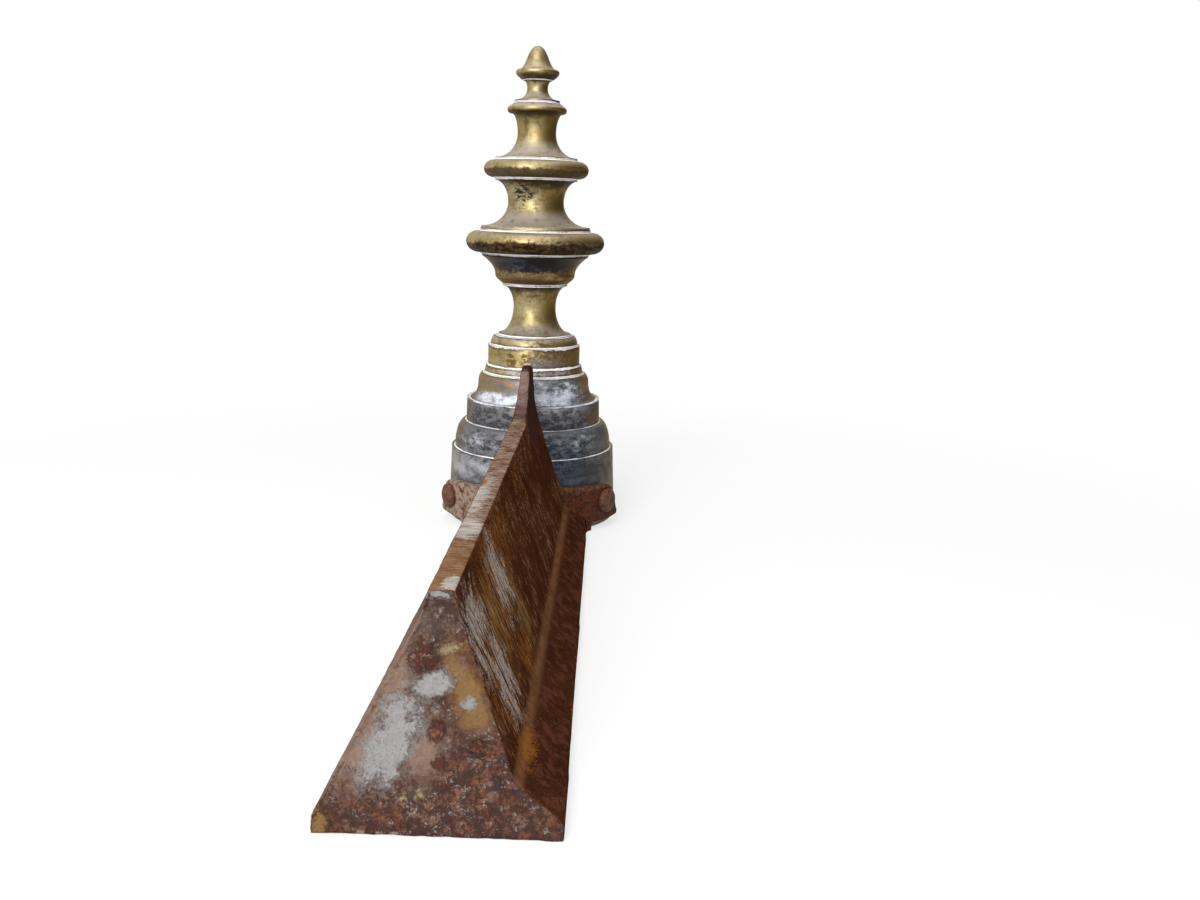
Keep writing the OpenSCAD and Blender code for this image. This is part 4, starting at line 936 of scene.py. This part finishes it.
def makeSaddleIron():  # brown rust, paler towards the lamp as dust and painted light, dusty along the upper edge
    material, shader, coords = startMaterial("rustySaddle", 0.06)
    x, y, z = axes(coords)
    scales = useGroup(scaleGroup, coords, size=0.0030)
    middle = noise(coords, 160, 5, 0.65)
    dust = step(noise(coords, 240, 5, 0.7), 0.36, 0.56)
    grit = noise(coords, 1100, 4, 0.7)
    speck = step(noise(coords, 640, 5, 0.75), 0.42, 0.6)
    colour = blend(step(middle, 0.38, 0.62), "umber", "rust")
    colour = blend(speck, colour, "maroon", 0.5)
    # painted light: the +X side, where the lamp falls, is paler as well as dusty
    colour = blend(times(step(x, 0.012, 0.03), dust), colour, "dust", 0.85)
    colour = blend(times(step(z, 0.027, 0.033), speck), colour, "tan", 0.4)
    colour = blend(scales["pit"], colour, "pit", 0.6)
    colour = blend(step(grit, 0.55, 0.68), colour, "dark", 0.6)
    relief = plus(scales["height"], times(grit, 0.3))
    finishMaterial(shader, colour, mixValue(grit, 0.5, 0.75), relief, 0.0009)
    return material


for make in (makeFlankIron, makeEndIron, makeSaddleIron):
    barPiece.data.materials.append(make())
for polygon in barPiece.data.polygons:
    x, y, z = (v / mm for v in polygon.center)
    fromBrass = math.hypot(x, y - columnY / mm)
    if y > ironZones["endY"] and polygon.normal.y > ironZones["endFacing"]:
        polygon.material_index = 1
    elif fromBrass < ironZones["saddleR"] and abs(x) > ironZones["saddleX"] and z < ironZones["saddleZ"]:
        polygon.material_index = 2
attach(barPiece, "root")
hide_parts("log_bar")


# The ear screws, and the finish of the hidden iron.

earScrew = dict(faceR=67.5, headR=8.5, headT=3.8, crownR=5.7, crownH=1.3, shankR=4, endR=45.13, edge=0.5,
                edgeAngle=30, smoothAngle=50)
screwLook = dict(patch=190, flake=1.9, low=(0.050, 0.018, 0.008), mid=(0.125, 0.050, 0.025),
                 high=(0.22, 0.125, 0.080), rough=(0.62, 0.42), depth=0.6)
forgeLook = dict(patch=120, flake=2.2, low=(0.030, 0.026, 0.024), mid=(0.075, 0.055, 0.045),
                 high=(0.16, 0.085, 0.045), rough=(0.55, 0.7), depth=0.25)


def makeSmallIron(name, look):
    material, shader, coords = startMaterial(name, 0.15)
    broad = noise(coords, look["patch"], 4, 0.6, 0.4)
    fine = noise(coords, look["patch"] * 7, 5, 0.68)
    scales = useGroup(scaleGroup, coords, size=look["flake"] * mm)
    tone = blend(step(broad, 0.38, 0.62), look["low"], look["mid"])
    tone = blend(step(fine, 0.5, 0.7), tone, look["high"])
    tone = blend(scales["pit"], tone, "pit", 0.8)
    rough = mixValue(step(fine, 0.4, 0.7), *look["rough"])
    finishMaterial(shader, tone, rough, plus(scales["height"], times(fine, 0.4)), look["depth"] * mm)
    return material


def pickFaces(piece, wanted):
    mesh = bmesh.from_edit_mesh(piece.data)
    for face in mesh.faces:
        face.select = wanted(face)
    bmesh.update_edit_mesh(piece.data)


def makeScrew(side):
    clearSelection()
    bpy.ops.mesh.primitive_cylinder_add(vertices=64, radius=earScrew["headR"] * mm,
                                        depth=earScrew["headT"] * mm, location=flat)
    screw = bpy.context.active_object
    bpy.ops.object.mode_set(mode="EDIT")
    bpy.ops.mesh.select_mode(type="FACE")
    bpy.ops.mesh.select_all(action="DESELECT")
    pickFaces(screw, lambda face: abs(face.normal.z) > 0.9)
    crownStep = (earScrew["headR"] - earScrew["crownR"]) / 2
    for inset in (crownStep, crownStep, earScrew["crownR"] - earScrew["shankR"]):
        bpy.ops.mesh.inset(thickness=inset * mm)
    pickFaces(screw, lambda face: face.normal.z < -0.9 and face.calc_center_median().length < 0.0025
              and len(face.verts) > 8)  # the shank grows out of the underside
    shank = earScrew["faceR"] - earScrew["endR"]
    bpy.ops.mesh.extrude_region_move(TRANSFORM_OT_translate={"value": (0, 0, -shank * mm)})
    bpy.ops.object.mode_set(mode="OBJECT")
    for vertex in screw.data.vertices:  # hammered crown: the rim drops away from the flat
        r = math.hypot(vertex.co.x, vertex.co.y) / mm
        if vertex.co.z > 0 and r > earScrew["crownR"]:
            share = (r - earScrew["crownR"]) / (earScrew["headR"] - earScrew["crownR"])
            vertex.co.z -= earScrew["crownH"] * mm * share ** 2
    outward = Matrix.Translation((0, (earScrew["faceR"] + earScrew["headT"] / 2) * mm, 0))
    screw.data.transform(atEar(side) @ outward @ Matrix.Rotation(math.radians(-90), 4, "X"))
    return screw


screws = [makeScrew(side) for side in (-1, 1)]
clearSelection()
for screw in screws:
    screw.select_set(True)
bpy.context.view_layer.objects.active = screws[0]
bpy.ops.object.join()
screwPiece = bpy.context.active_object
screwPiece.name = screwPiece.data.name = "earScrews"
modify(screwPiece, "BEVEL", width=earScrew["edge"] * mm, segments=3,
       angle_limit=math.radians(earScrew["edgeAngle"]))
bpy.ops.object.shade_smooth_by_angle(angle=math.radians(earScrew["smoothAngle"]))
screwPiece.data.materials.append(makeSmallIron("rustyScrew", screwLook))
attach(screwPiece, "root")
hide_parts("ear_screws")

forgeIron = makeSmallIron("forgeScale", forgeLook)
for node in ("tie_rod", "bridge_bar", "rod_washer", "rod_nut", "ear_washers", "ear_nuts"):
    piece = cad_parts[node]
    piece.data.materials.clear()
    piece.data.materials.append(forgeIron)
print("iron ready")


# Floor, light and camera. These dictionaries are in metres, watts and radians.

ground = dict(radius=6, z=-0.0002, grey=0.86, rough=0.9, glowFrom=0.22, glowTo=0.75, nearGlow=0.70, farGlow=1.0)
room = dict(unseen=0.40, seen=1.0)
lamps = [
    dict(name="softBoxLeft", place=(0.50, 1.40, 0.95), aim=(0, -0.05, 0.15), size=(0.9, 1.5), watts=42),
    dict(name="softBoxTop", place=(0.10, 0.15, 1.7), aim=(0, -0.05, 0.10), size=(1.0, 1.0), watts=9),
]
card = dict(place=(-0.55, -0.30, 0.30), size=1.5, grey=0.03)
shot = dict(place=(-0.0590156, 0.5958471, 0.2235870), heading=0.0115, tilt=0.2212, roll=0.0277, lens=32.44,
            sensor=36)


def seenByCamera():  # 1 for what the camera, a reflection or glass looks at, 0 for what only lights the scene
    path = put("LightPath").node.outputs
    through = calc("MAXIMUM", path["Is Glossy Ray"], path["Is Transmission Ray"])
    return calc("MAXIMUM", path["Is Camera Ray"], through)


clearSelection()
bpy.ops.mesh.primitive_circle_add(vertices=96, radius=ground["radius"], fill_type="NGON",
                                  location=(0, 0, ground["z"]))
floor = bpy.context.active_object
floor.name = "paleFloor"
material, shader, coords = startMaterial("paleFloor", 0.1)
shader["Base Color"].default_value = (*[ground["grey"]] * 3, 1)
shader["Roughness"].default_value = ground["rough"]
away = step(length(coords), ground["glowFrom"], ground["glowTo"])
white = mixValue(away, ground["nearGlow"], ground["farGlow"])
paint = tree.nodes["Principled BSDF"].outputs[0]
surface = put("MixShader", [times(white, seenByCamera()), paint, put("Emission", {"Color": (1, 1, 1, 1)})])
tree.links.new(surface, tree.nodes["Material Output"].inputs["Surface"])
floor.data.materials.append(material)

world = bpy.data.worlds.new("studio")
scene.world = world
world.use_nodes = True
tree = world.node_tree
background = tree.nodes["Background"].inputs
tree.links.new(mixValue(seenByCamera(), room["unseen"], room["seen"]), background["Strength"])
background["Color"].default_value = (1, 1, 1, 1)

for lamp in lamps:
    data = bpy.data.lights.new(lamp["name"], "AREA")
    data.shape = "RECTANGLE"
    data.size, data.size_y = lamp["size"]
    data.energy = lamp["watts"]
    light = bpy.data.objects.new(lamp["name"], data)
    light.location = lamp["place"]
    toward = Vector(lamp["aim"]) - Vector(lamp["place"])
    light.rotation_euler = toward.to_track_quat("-Z", "Y").to_euler()
    scene.collection.objects.link(light)

clearSelection()
bpy.ops.mesh.primitive_plane_add(size=card["size"], location=card["place"], rotation=(0, math.pi / 2, 0))
darkCard = bpy.context.active_object  # a dark card beside the part, which only reflections show
darkCard.name = "darkCard"
material, shader, coords = startMaterial("darkCard", 0)
shader["Base Color"].default_value = (*[card["grey"]] * 3, 1)
darkCard.data.materials.append(material)
darkCard.visible_camera = False
darkCard.visible_shadow = False
darkCard.visible_diffuse = False

cameraData = bpy.data.cameras.new("photoCamera")
cameraData.lens = shot["lens"]
cameraData.sensor_width = shot["sensor"]
camera = bpy.data.objects.new("photoCamera", cameraData)
turn = (Matrix.Rotation(math.pi + shot["heading"], 4, "Z") @ Matrix.Rotation(math.pi / 2 - shot["tilt"], 4, "X")
        @ Matrix.Rotation(shot["roll"], 4, "Z"))
camera.matrix_world = Matrix.Translation(shot["place"]) @ turn
scene.collection.objects.link(camera)
scene.camera = camera
scene.view_settings.view_transform = "Standard"

print("scene ready")
